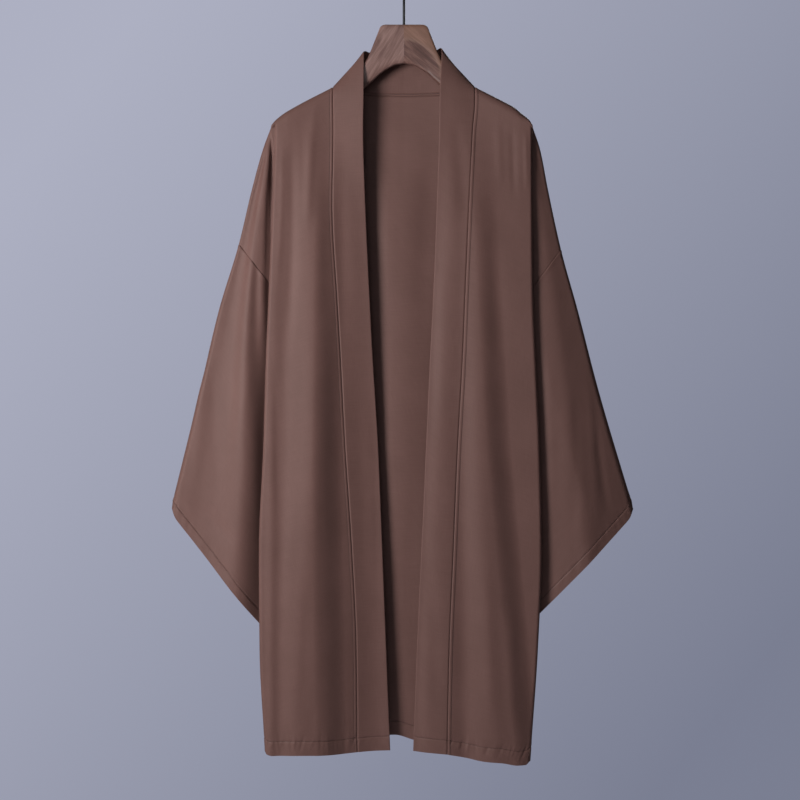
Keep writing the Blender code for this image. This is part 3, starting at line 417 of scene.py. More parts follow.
left_half = Half(
    LEFT,
    outline={
        "height": (-0.190, -0.255, -0.368, -0.523, -0.600, -0.755, -0.910, -1.065, -1.230),
        "opening": (0.0625, 0.0636, 0.0605, 0.0535, 0.0496, 0.0403, 0.0340, 0.0280, 0.0215),
        "collar_seam": (0.1112, 0.1105, 0.1116, 0.1039, 0.0995, 0.0915, 0.0815, 0.0745, 0.0729),
        "front_edge": (0.2045, 0.2005, 0.2045, 0.2108, 0.2140, 0.2185, 0.2250, 0.2240, 0.2150),
        "back_edge": (0.2060, 0.2065, 0.2095, 0.2110, 0.2130, 0.2160, 0.2170, 0.2160, 0.2110),
    },
    shoulder={
        "out": (0.1112, 0.1550, 0.1720, 0.1880, 0.1990, 0.2070),
        "height": (-0.1880, -0.2106, -0.2200, -0.2298, -0.2388, -0.2482),
    },
    sleeve_top={
        "height": (-0.2482, -0.2858, -0.3485, -0.4330, -0.5367, -0.6620, -0.8525),
        "out": (0.2070, 0.2210, 0.2383, 0.2586, 0.2900, 0.3198, 0.3668),
    },
    armhole_top=-0.4330,
    underarm=(0.076, -0.665),
    cuff_bottom=(0.167, -1.1045),
    front_hem={
        "out": (0.020, 0.072, 0.100, 0.130, 0.165, 0.204, 0.2130, 0.2150),
        "height": (-1.2284, -1.2296, -1.2306, -1.2296, -1.2288, -1.2294, -1.2270, -1.2230),
    },
)
right_half = Half(
    RIGHT,
    outline={
        "height": (-0.190, -0.255, -0.368, -0.523, -0.600, -0.755, -0.910, -1.065, -1.240),
        "opening": (0.0560, 0.0553, 0.0512, 0.0450, 0.0410, 0.0340, 0.0270, 0.0200, 0.0136),
        "collar_seam": (0.1110, 0.1075, 0.1015, 0.0946, 0.0915, 0.0830, 0.0765, 0.0700, 0.0665),
        "front_edge": (0.2005, 0.1990, 0.1995, 0.2010, 0.2040, 0.2105, 0.2135, 0.2077, 0.1950),
        "back_edge": (0.1985, 0.1980, 0.1985, 0.2000, 0.2030, 0.2075, 0.2100, 0.2030, 0.1880),
    },
    shoulder={
        "out": (0.1110, 0.1550, 0.1720, 0.1835, 0.1945, 0.2008),
        "height": (-0.1878, -0.2104, -0.2198, -0.2294, -0.2388, -0.2482),
    },
    sleeve_top={
        "height": (-0.2482, -0.2858, -0.3485, -0.4410, -0.5367, -0.6620, -0.8550),
        "out": (0.2008, 0.2133, 0.2259, 0.2462, 0.2729, 0.3058, 0.3638),
    },
    armhole_top=-0.4410,
    underarm=(0.076, -0.667),
    cuff_bottom=(0.140, -1.086),
    front_hem={
        "out": (0.012, 0.050, 0.067, 0.101, 0.124, 0.152, 0.178, 0.189, 0.1955),
        "height": (-1.2200, -1.2205, -1.2250, -1.2316, -1.2357, -1.2380, -1.2422, -1.2422, -1.2370),
    },
)
arm_top, arm_bottom, arm_thick = (curve(ARM, "out", wanted) for wanted in ("top", "bottom", "half_thick"))
neck_back, neck_height = curve(NECK, "out", "back"), curve(NECK, "out", "height")
hang = {layer: curve(DEPTH, "height", layer) for layer in ("front", "back")}
back_hem = curve(BACK_HEM, "out", "height")


def blend(a, b, t):
    return a + (b - a) * t


def ease(t):
    t = np.clip(t, 0.0, 1.0)
    return t * t * (3 - 2 * t)


def rolled(distance, radius):
    """How far a layer has opened at a distance from a fold of this radius: 0 at the fold, then 1."""
    share = 1 - np.clip(distance / radius, 0.0, 1.0)
    return np.sqrt(1 - share * share)


def round_arm(turn):
    """A quarter turn over the arm: shares of the way out and of the way down."""
    angle = math.pi / 2 * turn
    return np.sin(angle) ** (2 / ARM_SQUARENESS), 1 - np.cos(angle) ** (2 / ARM_SQUARENESS)


def on_cloth(out):
    return np.clip(out, *ON_ARM)


def arm_sink(out):
    """Height over which the cloth rounds the upper half of the arm."""
    return (arm_top(on_cloth(out)) - arm_bottom(on_cloth(out))) / 2 + REST_GAP


def edge_radius(height):
    """Radius of the outer fold, which opens below the hanger's tip."""
    return blend(*EDGE_RADII, ease((-0.26 - height) / 0.25))


def large_folds(folds, out, height):
    """How far the large folds stand out here."""
    rise = 0.0
    for outs, half_width, rises in folds:
        middle = np.interp(height, FOLD_HEIGHTS, outs)
        rise = rise + np.interp(height, FOLD_HEIGHTS, rises) * np.exp(-(((out - middle) / half_width) ** 2))
    return rise


def main_level(layer, half, out, height):
    """Y of a body panel's flat part."""
    fallen = ease((half.crest(out) - arm_sink(out) - height) / LEAVES_ARM)
    on_arm = arm_thick(on_cloth(out)) + REST_GAP
    if layer == "front":
        on_arm = -(on_arm + OFF_ARM_SLOPE * np.maximum(ON_ARM[0] - out, 0.0))
        hanging = hang["front"](height) - large_folds(FRONT_FOLDS[half.side], out, height)
        hanging = hanging + steps_down(half.side, out, height)
    else:
        on_arm = np.maximum(on_arm, neck_back(out) + 0.0005)
        hanging = hang["back"](height) + large_folds(BACK_FOLDS, half.side * out, height)
    return blend(on_arm, hanging, fallen)


def sleeve_middle(half, out, height):
    """Y half way between the sleeve's layers, which swing back as they fall and spread."""
    tip_out, tip_height = half.tip
    down = np.maximum(tip_height - height, 0.0)
    beyond = out - tip_out - RIDGE_LEAN * down
    bent = (beyond + np.hypot(beyond, RIDGE_ROUND)) / 2 * ease(down / SLEEVE_FOLDS_BEGIN)
    leant = SLEEVE_LEAN[half.side] * np.maximum(out - tip_out, 0.0)
    return SLEEVE_SWING * down + leant + SLEEVE_BEND[half.side] * bent


def sleeve_level(layer, half, out, height):
    """Y of a layer of the sleeve, and of the wing that carries it."""
    tip_out, tip_height = half.tip
    down = np.maximum(tip_height - height, 0.0)
    inward = np.clip((half.top_line(height) - out) / SPREAD_REACH, 0.0, 1.0)
    spread = SPREAD + SPREAD_AT_TIP * np.exp(-down / 0.04) + SPREAD_LOWER * ease((down - 0.05) / 0.5)
    spread = np.maximum(spread * np.interp(inward, *SPREAD_ACROSS), SPREAD_LEAST)
    lean = (out - tip_out) / np.maximum(down, 0.05)
    grown = ease((down - SLEEVE_FOLDS_BEGIN) / SLEEVE_FOLDS_GROW)
    for at_armhole, at_cuff, half_lean, rise_armhole, rise_cuff in SLEEVE_FOLDS[layer, half.side]:
        rise = blend(rise_armhole, rise_cuff, grown) * ease(down / SLEEVE_FOLDS_BEGIN)
        spread = spread + rise * np.exp(-(((lean - blend(at_armhole, at_cuff, grown)) / half_lean) ** 2))
    spread = np.maximum(spread, SPREAD_LEAST)
    return sleeve_middle(half, out, height) + (-spread if layer == "front" else spread)


def tuck_level(layer, half, out, height):
    """Y of the tuck that runs in from the outer edge to the side seam."""
    toward = -1 if layer == "front" else 1
    edge = half.edge[layer](height)
    radius = edge_radius(height)
    start = main_level(layer, half, edge - radius, height) - toward * 2 * radius
    below = half.underarm[1] - height
    open_end = sleeve_middle(half, SIDE_SEAM_OUT, height) + toward * UNDERARM_OPEN
    sewn_end = SIDE_SEAM_BACK * ease(below / 0.25) + toward * CLOTH * 0.6
    end = blend(open_end, sewn_end, ease(below / 0.2))
    share = np.clip((edge - out) / (edge - SIDE_SEAM_OUT), 0.0, 1.0)
    return blend(start, end, share**TUCK_CURVE)


def edge_level(layer, half, height):
    """Y of the outer edge itself, half way round its roll."""
    toward = -1 if layer == "front" else 1
    radius = edge_radius(height)
    return main_level(layer, half, half.edge[layer](height) - radius, height) - toward * radius


def crease_distance(half, out, height):
    """Distance from the slanting crease that runs from the hanger's tip to the underarm."""
    run_out, run_down = half.underarm[0] - half.tip[0], half.underarm[1] - half.tip[1]
    cross = (out - half.tip[0]) * run_down - (height - half.tip[1]) * run_out
    return np.abs(cross) / math.hypot(run_out, run_down)


def fall_heights(start, hem):
    """Heights of a column's rows, closer together at its start and across the hem."""
    shares = (np.arange(1, FALL_ROWS + 1) / FALL_ROWS) ** 1.25
    upper = blend(start[:, None], (hem + HEM_ROWS[0])[:, None], shares)
    return np.concatenate([upper, hem[:, None] + HEM_ROWS[1:]], axis=1)


def flat_part(layer, half, near, share, hem):
    """Columns of the flat part: from the shoulder or the neck down to the hem."""
    toward = -1 if layer == "front" else 1
    inner = half.collar_seam if layer == "front" else np.zeros_like
    tip_out = half.tip[0]
    reach = near.max()

    def place(height, edge):
        seam = inner(height)
        return seam + near[:, None] + share[:, None] * (edge - seam - reach)

    turn = np.linspace(0, 1, TOP_ROWS)
    top_out = place(np.full((len(near), 1), NECK_TOP), tip_out)
    on_neck = (layer == "back") & (top_out < NECK["out"][-1])
    crest = np.where(on_neck, neck_height(top_out), half.crest(top_out))
    start_y = np.where(on_neck, np.maximum(neck_back(top_out), HALF_GAP), toward * HALF_GAP)
    to_edge = tip_out - top_out
    opened = rolled(to_edge, EDGE_RADII[0])
    on_arm = blend(edge_level(layer, half, crest), main_level(layer, half, top_out, crest), opened)
    sink = blend(TIP_SINK, arm_sink(top_out), ease(to_edge / 0.02))
    level, drop = round_arm(turn)
    upper = [top_out + 0 * turn, blend(start_y, on_arm, level), crest - drop * sink]
    low = crest - sink
    height = fall_heights(low[:, 0], hem)
    out = blend(place(height, half.edge[layer](height)), top_out, 1 - ease((low - height) / 0.05))
    edge = half.edge[layer](height)
    opened = rolled(edge - out, edge_radius(height))
    y = blend(edge_level(layer, half, height), main_level(layer, half, out, height), opened)
    return np.concatenate([np.stack(upper, axis=-1), np.stack([out, y, height], axis=-1)], axis=1)


def outer_part(layer, half, hem_at_edge):
    """Columns beyond the outer edge: down the wing to the slanting crease, then down the tuck."""
    toward = -1 if layer == "front" else 1
    tip_out, tip_height = half.tip
    arm_out, arm_height = half.underarm
    share = (1 - np.cos(math.pi * np.linspace(TUCK_BEGINS, 1, TUCK_COLUMNS))) / 2
    share = share[:, None]
    top_height = blend(tip_height, half.armhole_top, share)
    top_out = half.top_line(top_height)
    turn_out, turn_height = blend(tip_out, arm_out, share), blend(tip_height, arm_height, share)
    opened = rolled(half.edge[layer](turn_height) - turn_out, edge_radius(turn_height))
    tuck = tuck_level(layer, half, turn_out, turn_height)
    tuck = blend(edge_level(layer, half, turn_height), tuck, opened)
    wing = sleeve_level(layer, half, turn_out, turn_height)
    turn_y, turn_radius = (tuck + wing) / 2, np.maximum(np.abs(tuck - wing) / 2, CREASE_LEAST)
    near_tip = 1 - ease(share / TUCK_NEAR_TIP)
    length = np.hypot(top_out - turn_out, top_height - turn_height)
    turn = np.linspace(0, 1, TOP_ROWS)
    along = (1 - np.cos(math.pi * turn)) / 2
    out, height = blend(top_out, turn_out, along), blend(top_height, turn_height, along)
    level = sleeve_level(layer, half, out, height)
    centre = sleeve_middle(half, out, height)
    opened = rolled(along * length, np.maximum(np.abs(level - centre), TOP_FOLD_LEAST))
    y = blend(centre + toward * TOP_SEAM_GAP, level, opened)
    y = blend(turn_y, y, rolled(crease_distance(half, out, height), turn_radius))
    y = blend(y, blend(toward * TOP_SEAM_GAP, turn_y, round_arm(turn)[0]), near_tip)
    upper = np.stack([out, y, height], axis=-1)
    hem = blend(hem_at_edge, SIDE_TUCK_HEM, ease(share[:, 0] / TUCK_NEAR_TIP))
    height = fall_heights(turn_height[:, 0], hem)

    def plain(at):
        return blend(half.edge[layer](at), SIDE_SEAM_OUT, share)

    out = plain(height) + (turn_out - plain(turn_height)) * (1 - ease((turn_height - height) / 0.12))
    edge = half.edge[layer](height)
    opened = rolled(edge - out, edge_radius(height))
    y = blend(edge_level(layer, half, height), tuck_level(layer, half, out, height), opened)
    beyond = rolled(crease_distance(half, out, height), turn_radius)
    still = (height > arm_height) | (share > TUCK_SEWN)
    y = np.where(still, blend(turn_y, y, beyond), y)
    return np.concatenate([upper, np.stack([out, y, height], axis=-1)], axis=1)


def crease(places, start, end, half_width, rise, bow=0.0):
    """A soft crease between two places (x, height) on a panel, which fades out towards both ends."""
    run = np.subtract(end, start)
    length = math.hypot(*run)
    off = places - np.array(start)
    along = off @ run / length**2
    across = (off[..., 1] * run[0] - off[..., 0] * run[1]) / length - bow * 4 * along * (1 - along)
    return rise * np.exp(-((across / half_width) ** 2)) * ease(3 * along) * ease(3 * (1 - along))


def creased(points, creases):
    """All of a panel's small creases together."""
    places = points[..., [0, 2]]
    return sum(crease(places, *one) for one in creases)


def hem_relief(along, above, deep, dice, strong=1.0):
    """A hem: the turned-up layer, the sunk line of stitches and the slanting puckers that they pull."""
    relief = HEM_TURNED_UP * ease((deep + 0.0015 - above) / 0.002)
    relief = relief - HEM_GROOVE * np.exp(-(((above - deep) / HEM_GROOVE_WIDE) ** 2))
    place, last = along.min(), along.max()
    while place < last:
        place += dice.uniform(*PUCKER_SPACING)
        wide, reach = dice.uniform(*PUCKER_WIDE), dice.uniform(*PUCKER_REACH)
        rise = dice.choice((-1, 1)) * dice.uniform(*PUCKER_RISE) * strong
        away = along - place - dice.uniform(*PUCKER_SLANT) * (above - deep)
        fades = np.exp(-(((above - deep * 0.85) / reach) ** 2))
        relief = relief + rise * np.exp(-((away / wide) ** 2)) * fades
    return relief


def cloth_lengths(points):
    """Place of each point on the flat cloth, measured along its columns and rows."""
    across = np.cumsum(np.linalg.norm(np.diff(points, axis=0, prepend=points[:1]), axis=-1), axis=0)
    down = np.cumsum(np.linalg.norm(np.diff(points, axis=1, prepend=points[:, :1]), axis=-1), axis=1)
    return np.stack([across, -down], axis=-1)


def grid_normals(points, closed=False):
    """Directions square to a grid of points, towards the side that sees its columns run left to right."""
    if closed:
        across = np.roll(points, -1, axis=0) - np.roll(points, 1, axis=0)
    else:
        across = np.gradient(points, axis=0)
    down = np.gradient(points, axis=1)
    normals = np.cross(down, across)
    return normals / np.maximum(np.linalg.norm(normals, axis=-1, keepdims=True), 1e-12)


def make_cloth(name, points, normals, thick, material, closed=False):
    """A thin closed shell over a grid of points, with the flat cloth's places as its UV map."""
    columns, rows = points.shape[:2]
    count = columns * rows
    faces = grid_faces(columns, rows, closed)
    offset = normals * (thick / 2)[..., None] if hasattr(thick, "shape") else normals * thick / 2
    both = np.concatenate([(points + offset).reshape(-1, 3), (points - offset).reshape(-1, 3)])
    loops = [c * rows for c in range(columns)], [c * rows + rows - 1 for c in range(columns)]
    if closed:
        rims = [(np.array(loop), np.roll(loop, -1)) for loop in loops]
        rims[1] = rims[1][::-1]
    else:
        down = list(range(rows)), [(columns - 1) * rows + r for r in range(rows)]
        ring = loops[0] + down[1][1:] + loops[1][-2::-1] + down[0][-2:0:-1]
        rims = [(np.array(ring), np.roll(ring, -1))]
    rim_faces = [np.stack([b, a, a + count, b + count], axis=-1) for a, b in rims]
    every = np.concatenate([faces, faces[:, ::-1] + count, *rim_faces])
    mesh = bpy.data.meshes.new(name)
    mesh.from_pydata(both, [], every.tolist())
    lengths = cloth_lengths(points).reshape(-1, 2)
    corner = np.empty(len(mesh.loops), dtype=np.int32)
    mesh.loops.foreach_get("vertex_index", corner)
    places = np.concatenate([lengths, lengths])[corner]
    if closed:
        # Faces that close the tube take their far side's length from the column before them
        last = np.arange((columns - 1) * (rows - 1), columns * (rows - 1))
        step = np.linalg.norm(points[0] - points[-1], axis=-1)
        for first_loop, order in ((4 * last, (1, 2)), (4 * (last + len(faces)), (2, 1))):
            for k in order:
                row = corner[first_loop + k] % count % rows
                places[first_loop + k, 0] = lengths.reshape(columns, rows, 2)[-1, row, 0] + step[row]
    layer = mesh.uv_layers.new(name="cloth")
    layer.data.foreach_set("uv", places.astype(np.float32).ravel())
    shape = bmesh.new()
    shape.from_mesh(mesh)
    bmesh.ops.recalc_face_normals(shape, faces=shape.faces)
    shape.to_mesh(mesh)
    shape.free()
    return new_object(name, mesh, material)


def make_crepe():
    """Matt brown crepe: a fine pebbled weave, with a soft bloom where it turns from the light."""
    material, tree, shader = new_material("crepe")
    place = add(tree, "UVMap", uv_map="cloth").outputs["UV"]
    split = add(tree, "SeparateXYZ", {"Vector": place})
    threads = []
    for k, pitch in enumerate(WEAVE_PITCHES):
        turns = add(tree, "Math", {0: split.outputs[k], 1: 2 * math.pi / pitch}, operation="MULTIPLY")
        threads.append(add(tree, "Math", {0: turns}, operation="SINE"))
    woven = add(tree, "Math", {0: threads[0], 1: threads[1]}, operation="MULTIPLY")
    pebbles = add(tree, "TexNoise", {"Vector": place, "Scale": 1150.0, "Detail": 2.0, "Roughness": 0.6})
    warp = stretched(tree, place, WARP_STREAKS, "TexNoise", Detail=2.0)
    weft = stretched(tree, place, WEFT_STREAKS, "TexNoise", Detail=2.0)
    cloudy = add(tree, "TexNoise", {"Vector": place, "Scale": 14.0, "Detail": 2.0})
    slubs = add(tree, "Math", {0: warp.outputs["Fac"], 1: weft.outputs["Fac"]}, operation="ADD")
    tones = add(tree, "Math", {0: slubs, 1: cloudy.outputs["Fac"]}, operation="ADD")
    tones = add(tree, "Math", {0: tones, 1: 3.0}, operation="DIVIDE")
    base = ramp(tree, tones.outputs[0], (0.36, CREPE_DARK), (0.64, CREPE_PALE))
    tree.links.new(base, shader.inputs["Base Color"])
    relief = add(tree, "Math", {0: woven, 1: 0.22}, operation="MULTIPLY")
    relief = add(tree, "Math", {0: relief, 1: pebbles.outputs["Fac"]}, operation="ADD")
    bump = add(tree, "Bump", {"Height": relief, "Strength": 0.45, "Distance": WEAVE_DEPTH})
    tree.links.new(bump.outputs["Normal"], shader.inputs["Normal"])
    shader.inputs["Roughness"].default_value = 0.62
    shader.inputs["Specular IOR Level"].default_value = 0.32
    shader.inputs["Sheen Weight"].default_value = 0.16
    shader.inputs["Sheen Roughness"].default_value = 0.42
    shader.inputs["Sheen Tint"].default_value = (1.0, 0.78, 0.72, 1.0)
    return material


def make_thread_and_painted_shade():
    # Thread darkened with painted shade, which stands in for the shadow in the sunk stitch lines.
    material, _, shader = new_material("thread_and_painted_shade")
    shader.inputs["Base Color"].default_value = THREAD_AND_PAINTED_SHADE_COLOR
    shader.inputs["Roughness"].default_value = 0.55
    return material


def make_stitches(name, lines):
    """Threads along lines on the cloth: each comes up, lies on the cloth and goes down again."""
    station = np.linspace(-1, 1, STITCH_RINGS)
    angle = np.linspace(0, 2 * math.pi, THREAD_SIDES, endpoint=False)
    around = np.arange(THREAD_SIDES)
    after = (around + 1) % THREAD_SIDES
    near = np.arange(STITCH_RINGS - 1)[:, None] * THREAD_SIDES
    far = near + THREAD_SIDES
    sides = np.stack([near + around, near + after, far + after, far + around], axis=-1).reshape(-1, 4)
    points, faces = [], []
    for line, normals, lift in lines:
        run = np.concatenate(([0.0], np.cumsum(np.linalg.norm(np.diff(line, axis=0), axis=1))))
        middle = (np.arange(int(run[-1] / STITCH_PITCH)) + 0.5) * STITCH_PITCH
        places = middle[:, None] + station * STITCH_LENGTH / 2
        centre, up = (
            np.stack([np.interp(places, run, part[:, k]) for k in range(3)], axis=-1)
            for part in (line, normals)
        )
        up /= np.linalg.norm(up, axis=-1, keepdims=True)
        ahead = centre[:, -1:] - centre[:, :1]
        aside = np.cross(ahead / np.linalg.norm(ahead, axis=-1, keepdims=True), up)
        centre = centre + up * (lift + THREAD_RADIUS * (0.9 - 1.8 * station**4))[:, None]
        ring = np.cos(angle)[:, None] * aside[:, :, None] + np.sin(angle)[:, None] * up[:, :, None]
        tubes = centre[:, :, None] + THREAD_RADIUS * ring
        start = sum(len(part) for part in points)
        each = start + np.arange(len(middle))[:, None, None] * STITCH_RINGS * THREAD_SIDES
        points.append(tubes.reshape(-1, 3))
        faces.append((each + sides).reshape(-1, 4))
    mesh = bpy.data.meshes.new(name)
    mesh.from_pydata(np.concatenate(points), [], np.concatenate(faces).tolist())
    stitches = new_object(name, mesh, thread_and_painted_shade)
    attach(stitches, "root")


def line_below(grid, normals, columns, distance):
    """Places at this distance down these columns of a grid, and the cloth's directions there."""
    line, ups = [], []
    for column in columns:
        run = np.concatenate(([0.0], np.cumsum(np.linalg.norm(np.diff(grid[column], axis=0), axis=1))))
        line.append([np.interp(distance, run, grid[column, :, k]) for k in range(3)])
        ups.append(normals[column, np.searchsorted(run, distance)])
    return np.array(line), np.array(ups)


crepe = make_crepe()
thread_and_painted_shade = make_thread_and_painted_shade()


def back_points():
    """The back's grid, from its left side seam to its right one."""
    halves = []
    for half in (left_half, right_half):
        tip_out, neck_out = half.tip[0], NECK["out"][-1]
        outs = np.concatenate([
            np.linspace(0.0, BESIDE_NECK, 31)[:-1],
            np.linspace(BESIDE_NECK, neck_out, 9)[:-1],
            blend(neck_out, tip_out, 1 - (1 - np.linspace(0, 1, 32)) ** 1.5),
        ])
        share = outs / tip_out
        hem = back_hem(half.side * share * half.edge["back"](FOLD_HEIGHTS[0]))
        flat = flat_part("back", half, np.zeros_like(share), share, hem)
        outer = outer_part("back", half, back_hem(half.side * BACK_HEM_EDGE))
        points = np.concatenate([flat, outer])
        points[..., 0] *= half.side
        halves.append(points)
    return np.concatenate([halves[0][::-1], halves[1][1:]])


# Small creases: start and end (x, height), half width, rise towards the front, and sideways bow
BACK_CREASES = (
    ((-0.060, -0.230), (-0.020, -0.520), 0.016, 0.0010, 0.006),
    ((0.055, -0.240), (0.030, -0.600), 0.018, -0.0012, -0.008),
    ((-0.150, -0.245), (-0.130, -0.600), 0.012, 0.0016, 0.004),
    ((0.150, -0.245), (0.136, -0.560), 0.013, -0.0016, -0.006),
    ((-0.090, -0.700), (-0.075, -1.180), 0.016, -0.0014, 0.005),
    ((0.035, -0.760), (0.045, -1.190), 0.014, 0.0012, -0.004),
    ((0.118, -0.640), (0.128, -1.150), 0.013, 0.0014, 0.006),
)
back_grid = back_points()
back_normals = grid_normals(back_grid)
along = cloth_lengths(back_grid)[:, -1:, 0]
above = back_grid[..., 2] - back_grid[:, -1:, 2]
dice = np.random.default_rng(11)
outer = np.zeros(len(back_grid), dtype=bool)
outer[:TUCK_COLUMNS] = outer[-TUCK_COLUMNS:] = True
relief = np.where(outer[:, None], 0.0, creased(back_grid, BACK_CREASES))
relief = relief + hem_relief(along, above, HEM_DEPTH, dice, strong=0.8)
below_neck = -cloth_lengths(back_grid)[..., 1]
relief = relief - NECK_GROOVE * np.exp(-(((below_neck - NECK_STITCH_BELOW) / NECK_GROOVE_WIDE) ** 2))
back_grid = back_grid + back_normals * relief[..., None]
back = make_cloth("back_cloth", back_grid, back_normals, CLOTH, crepe)
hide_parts("back")
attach(back, "root")
neck_columns = np.flatnonzero(np.abs(back_grid[:, 0, 0]) < NECK_STITCH_ENDS)
neck_line, neck_up = line_below(back_grid, back_normals, neck_columns, NECK_STITCH_BELOW)
hem_line, hem_up = back_grid[:, HEM_STITCH_ROW], back_normals[:, HEM_STITCH_ROW]
make_stitches("back_stitches", (
    (hem_line, hem_up, CLOTH / 2),
    (hem_line, -hem_up, CLOTH / 2),
    (neck_line, neck_up, CLOTH / 2),
    (neck_line, -neck_up, CLOTH / 2),
))

# The fronts. One straight width each, sewn to the back along the shoulder and side and to the collar
# down its inner edge. They hang in soft folds from the hanger and turn back deeply at the sides.
FRONT_COLUMNS = 84
SEAM_COLUMNS = np.array((0, 0.3, 0.8, 1.5, 2.4, 3.4, 4.2, 4.7, 5.1, 5.5, 5.9, 6.3, 6.9, 7.8, 9.2,
                         11, 13)) / 1000
SEAM_STITCH = 8
SEAM_STITCH_AWAY = 0.0051
SEAM_ALLOWANCE = 0.0060
SEAM_RAISED = 0.0004
SEAM_SUNK, SEAM_SUNK_WIDE = 0.0011, 0.0008
SEAM_GROOVE, SEAM_GROOVE_WIDE = 0.0004, 0.0006
# Large folds, as for the back but with the distance out from the middle
FRONT_FOLDS = {
    LEFT: (
        ((0.168, 0.141, 0.143), 0.024, (0.004, 0.0055, 0.002)),
        ((0.190, 0.187, 0.182), 0.012, (-0.001, -0.002, -0.001)),
        ((0.206, 0.206, 0.196), 0.008, (0.002, 0.001, 0.000)),
    ),
    RIGHT: (
        ((0.140, 0.118, 0.112), 0.022, (0.003, 0.003, 0.001)),
        ((0.094, 0.088, 0.098), 0.017, (-0.004, -0.003, -0.001)),
        ((0.014, 0.034, 0.052), 0.014, (-0.004, -0.003, 0.000)),
    ),
}
# Long steps: from its line towards the opening, a front and its collar lie further back by this fall
FRONT_STEPS_DOWN = {
    LEFT: (
        ((0.114, 0.120, 0.114), 0.048, (0.016, 0.014, 0.009)),
        ((0.078, 0.084, 0.086), 0.085, (0.021, 0.018, 0.000)),
    ),
    RIGHT: (((0.190, 0.146, 0.122), 0.040, (-0.012, -0.010, -0.003)),),
}
# The tip pulls slanting creases across each shoulder, and the collar's seam holds the cloth back
FRONT_CREASES = {
    LEFT: (
        ((-0.177, -0.243), (-0.182, -0.620), 0.0085, -0.0020, 0.006),
        ((-0.190, -0.246), (-0.198, -0.520), 0.0050, 0.0007, 0.003),
        ((-0.122, -0.195), (-0.124, -0.620), 0.0120, -0.0010, 0.002),
        ((-0.136, -0.195), (-0.152, -0.440), 0.0080, 0.0012, -0.003),
        ((-0.152, -0.235), (-0.150, -0.420), 0.0080, 0.0009, 0.004),
        ((-0.205, -0.560), (-0.196, -0.900), 0.0070, -0.0007, 0.002),
        ((-0.172, -0.800), (-0.186, -1.160), 0.0110, 0.0010, -0.003),
        ((-0.150, -0.940), (-0.160, -1.200), 0.0100, -0.0009, 0.002),
    ),
    RIGHT: (
        ((0.168, -0.240), (0.172, -0.370), 0.0050, -0.0008, 0.000),
        ((0.189, -0.248), (0.192, -0.360), 0.0040, 0.0008, 0.000),
        ((0.146, -0.232), (0.150, -0.350), 0.0060, 0.0006, 0.000),
        ((0.133, -0.400), (0.150, -0.640), 0.0120, -0.0008, 0.003),
        ((0.122, -0.900), (0.134, -1.200), 0.0100, 0.0009, 0.002),
        ((0.165, -0.980), (0.168, -1.210), 0.0090, 0.0007, -0.002),
    ),
}


def steps_down(side, out, height):
    """How far a front has fallen back towards its opening."""
    fallen = 0.0
    for outs, width, falls in FRONT_STEPS_DOWN[side]:
        middle = np.interp(height, FOLD_HEIGHTS, outs)
        fallen = fallen + np.interp(height, FOLD_HEIGHTS, falls) * ease((middle - out) / width + 0.5)
    return fallen


def seam_relief(away):
    """Beside a topstitched seam: sunk at the seam, raised over its allowance, sunk at the stitches."""
    raised = SEAM_RAISED * ease((SEAM_ALLOWANCE - away) / 0.0010)
    sunk = SEAM_SUNK * np.exp(-((away / SEAM_SUNK_WIDE) ** 2))
    return raised - sunk - SEAM_GROOVE * np.exp(-(((away - SEAM_STITCH_AWAY) / SEAM_GROOVE_WIDE) ** 2))


def front_points(half):
    """A front's grid, from the viewer's left to right."""
    spaced = 1 - (1 - np.linspace(0, 1, FRONT_COLUMNS)[1:]) ** 1.4
    share = np.concatenate([np.zeros(len(SEAM_COLUMNS)), spaced])
    near = np.concatenate([SEAM_COLUMNS, np.full(FRONT_COLUMNS - 1, SEAM_COLUMNS[-1])])
    low = FOLD_HEIGHTS[0]
    seam = half.collar_seam(low)
    hem = half.front_hem(seam + near + share * (half.edge["front"](low) - seam - near.max()))
    flat = flat_part("front", half, near, share, hem)
    points = np.concatenate([flat, outer_part("front", half, half.hem_at_edge)])
    points[..., 0] *= half.side
    return points if half.side == RIGHT else points[::-1]


for half, name, arm in ((left_half, "front_left", "wood_left"), (right_half, "front_right", "wood_right")):
    grid = front_points(half)
    normals = grid_normals(grid)
    lengths = cloth_lengths(grid)[..., 0]
    away = lengths if half.side == RIGHT else lengths[-1:] - lengths
    flat = np.arange(len(grid)) < len(grid) - TUCK_COLUMNS
    flat = flat if half.side == RIGHT else flat[::-1]
    relief = np.where(flat[:, None], creased(grid, FRONT_CREASES[half.side]) + seam_relief(away), 0.0)
    above = grid[..., 2] - grid[:, -1:, 2]
    dice = np.random.default_rng(21 + half.side)
    relief = relief + hem_relief(lengths[:, -1:], above, HEM_DEPTH, dice, strong=1.2)
    grid = grid + normals * relief[..., None]
    front = make_cloth(name + "_cloth", grid, normals, CLOTH, crepe)
    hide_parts(name)
    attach(front, "root")
    stitched = SEAM_STITCH if half.side == RIGHT else -1 - SEAM_STITCH
    make_stitches(name + "_stitches", (
        (grid[:, HEM_STITCH_ROW], normals[:, HEM_STITCH_ROW], CLOTH / 2),
        (grid[stitched, TOP_ROWS // 2:], normals[stitched, TOP_ROWS // 2:], CLOTH / 2),
    ))

# The sleeves. Each is one wide tube, folded along its top, sewn to the dropped armhole and closed by
# a seam underneath. It hangs flat from the line of the shoulder, and its cuff is a plain hem.
CUFF_HEM = 0.017
AROUND = 84
CUFF_ROWS = np.array((46, 41, 36.5, 32.5, 29, 26, 23.6, 21.6, 20, 18.8, 17.9, 17.2, 16.6, 16, 15.2,
                      14, 12.4, 10.4, 8.4, 6.4, 4.4, 2.6, 1.2, 0.5, 0.12, 0)) / 1000
CUFF_STITCH_ROW = int(np.argmin(np.abs(CUFF_ROWS - CUFF_HEM))) - len(CUFF_ROWS)
ARMHOLE_ROWS = np.array((0, 0.4, 0.8, 1.3, 2, 3, 4.5, 7, 10)) / 1000
SLEEVE_LENGTH = 0.430
SLEEVE_ROWS = 84
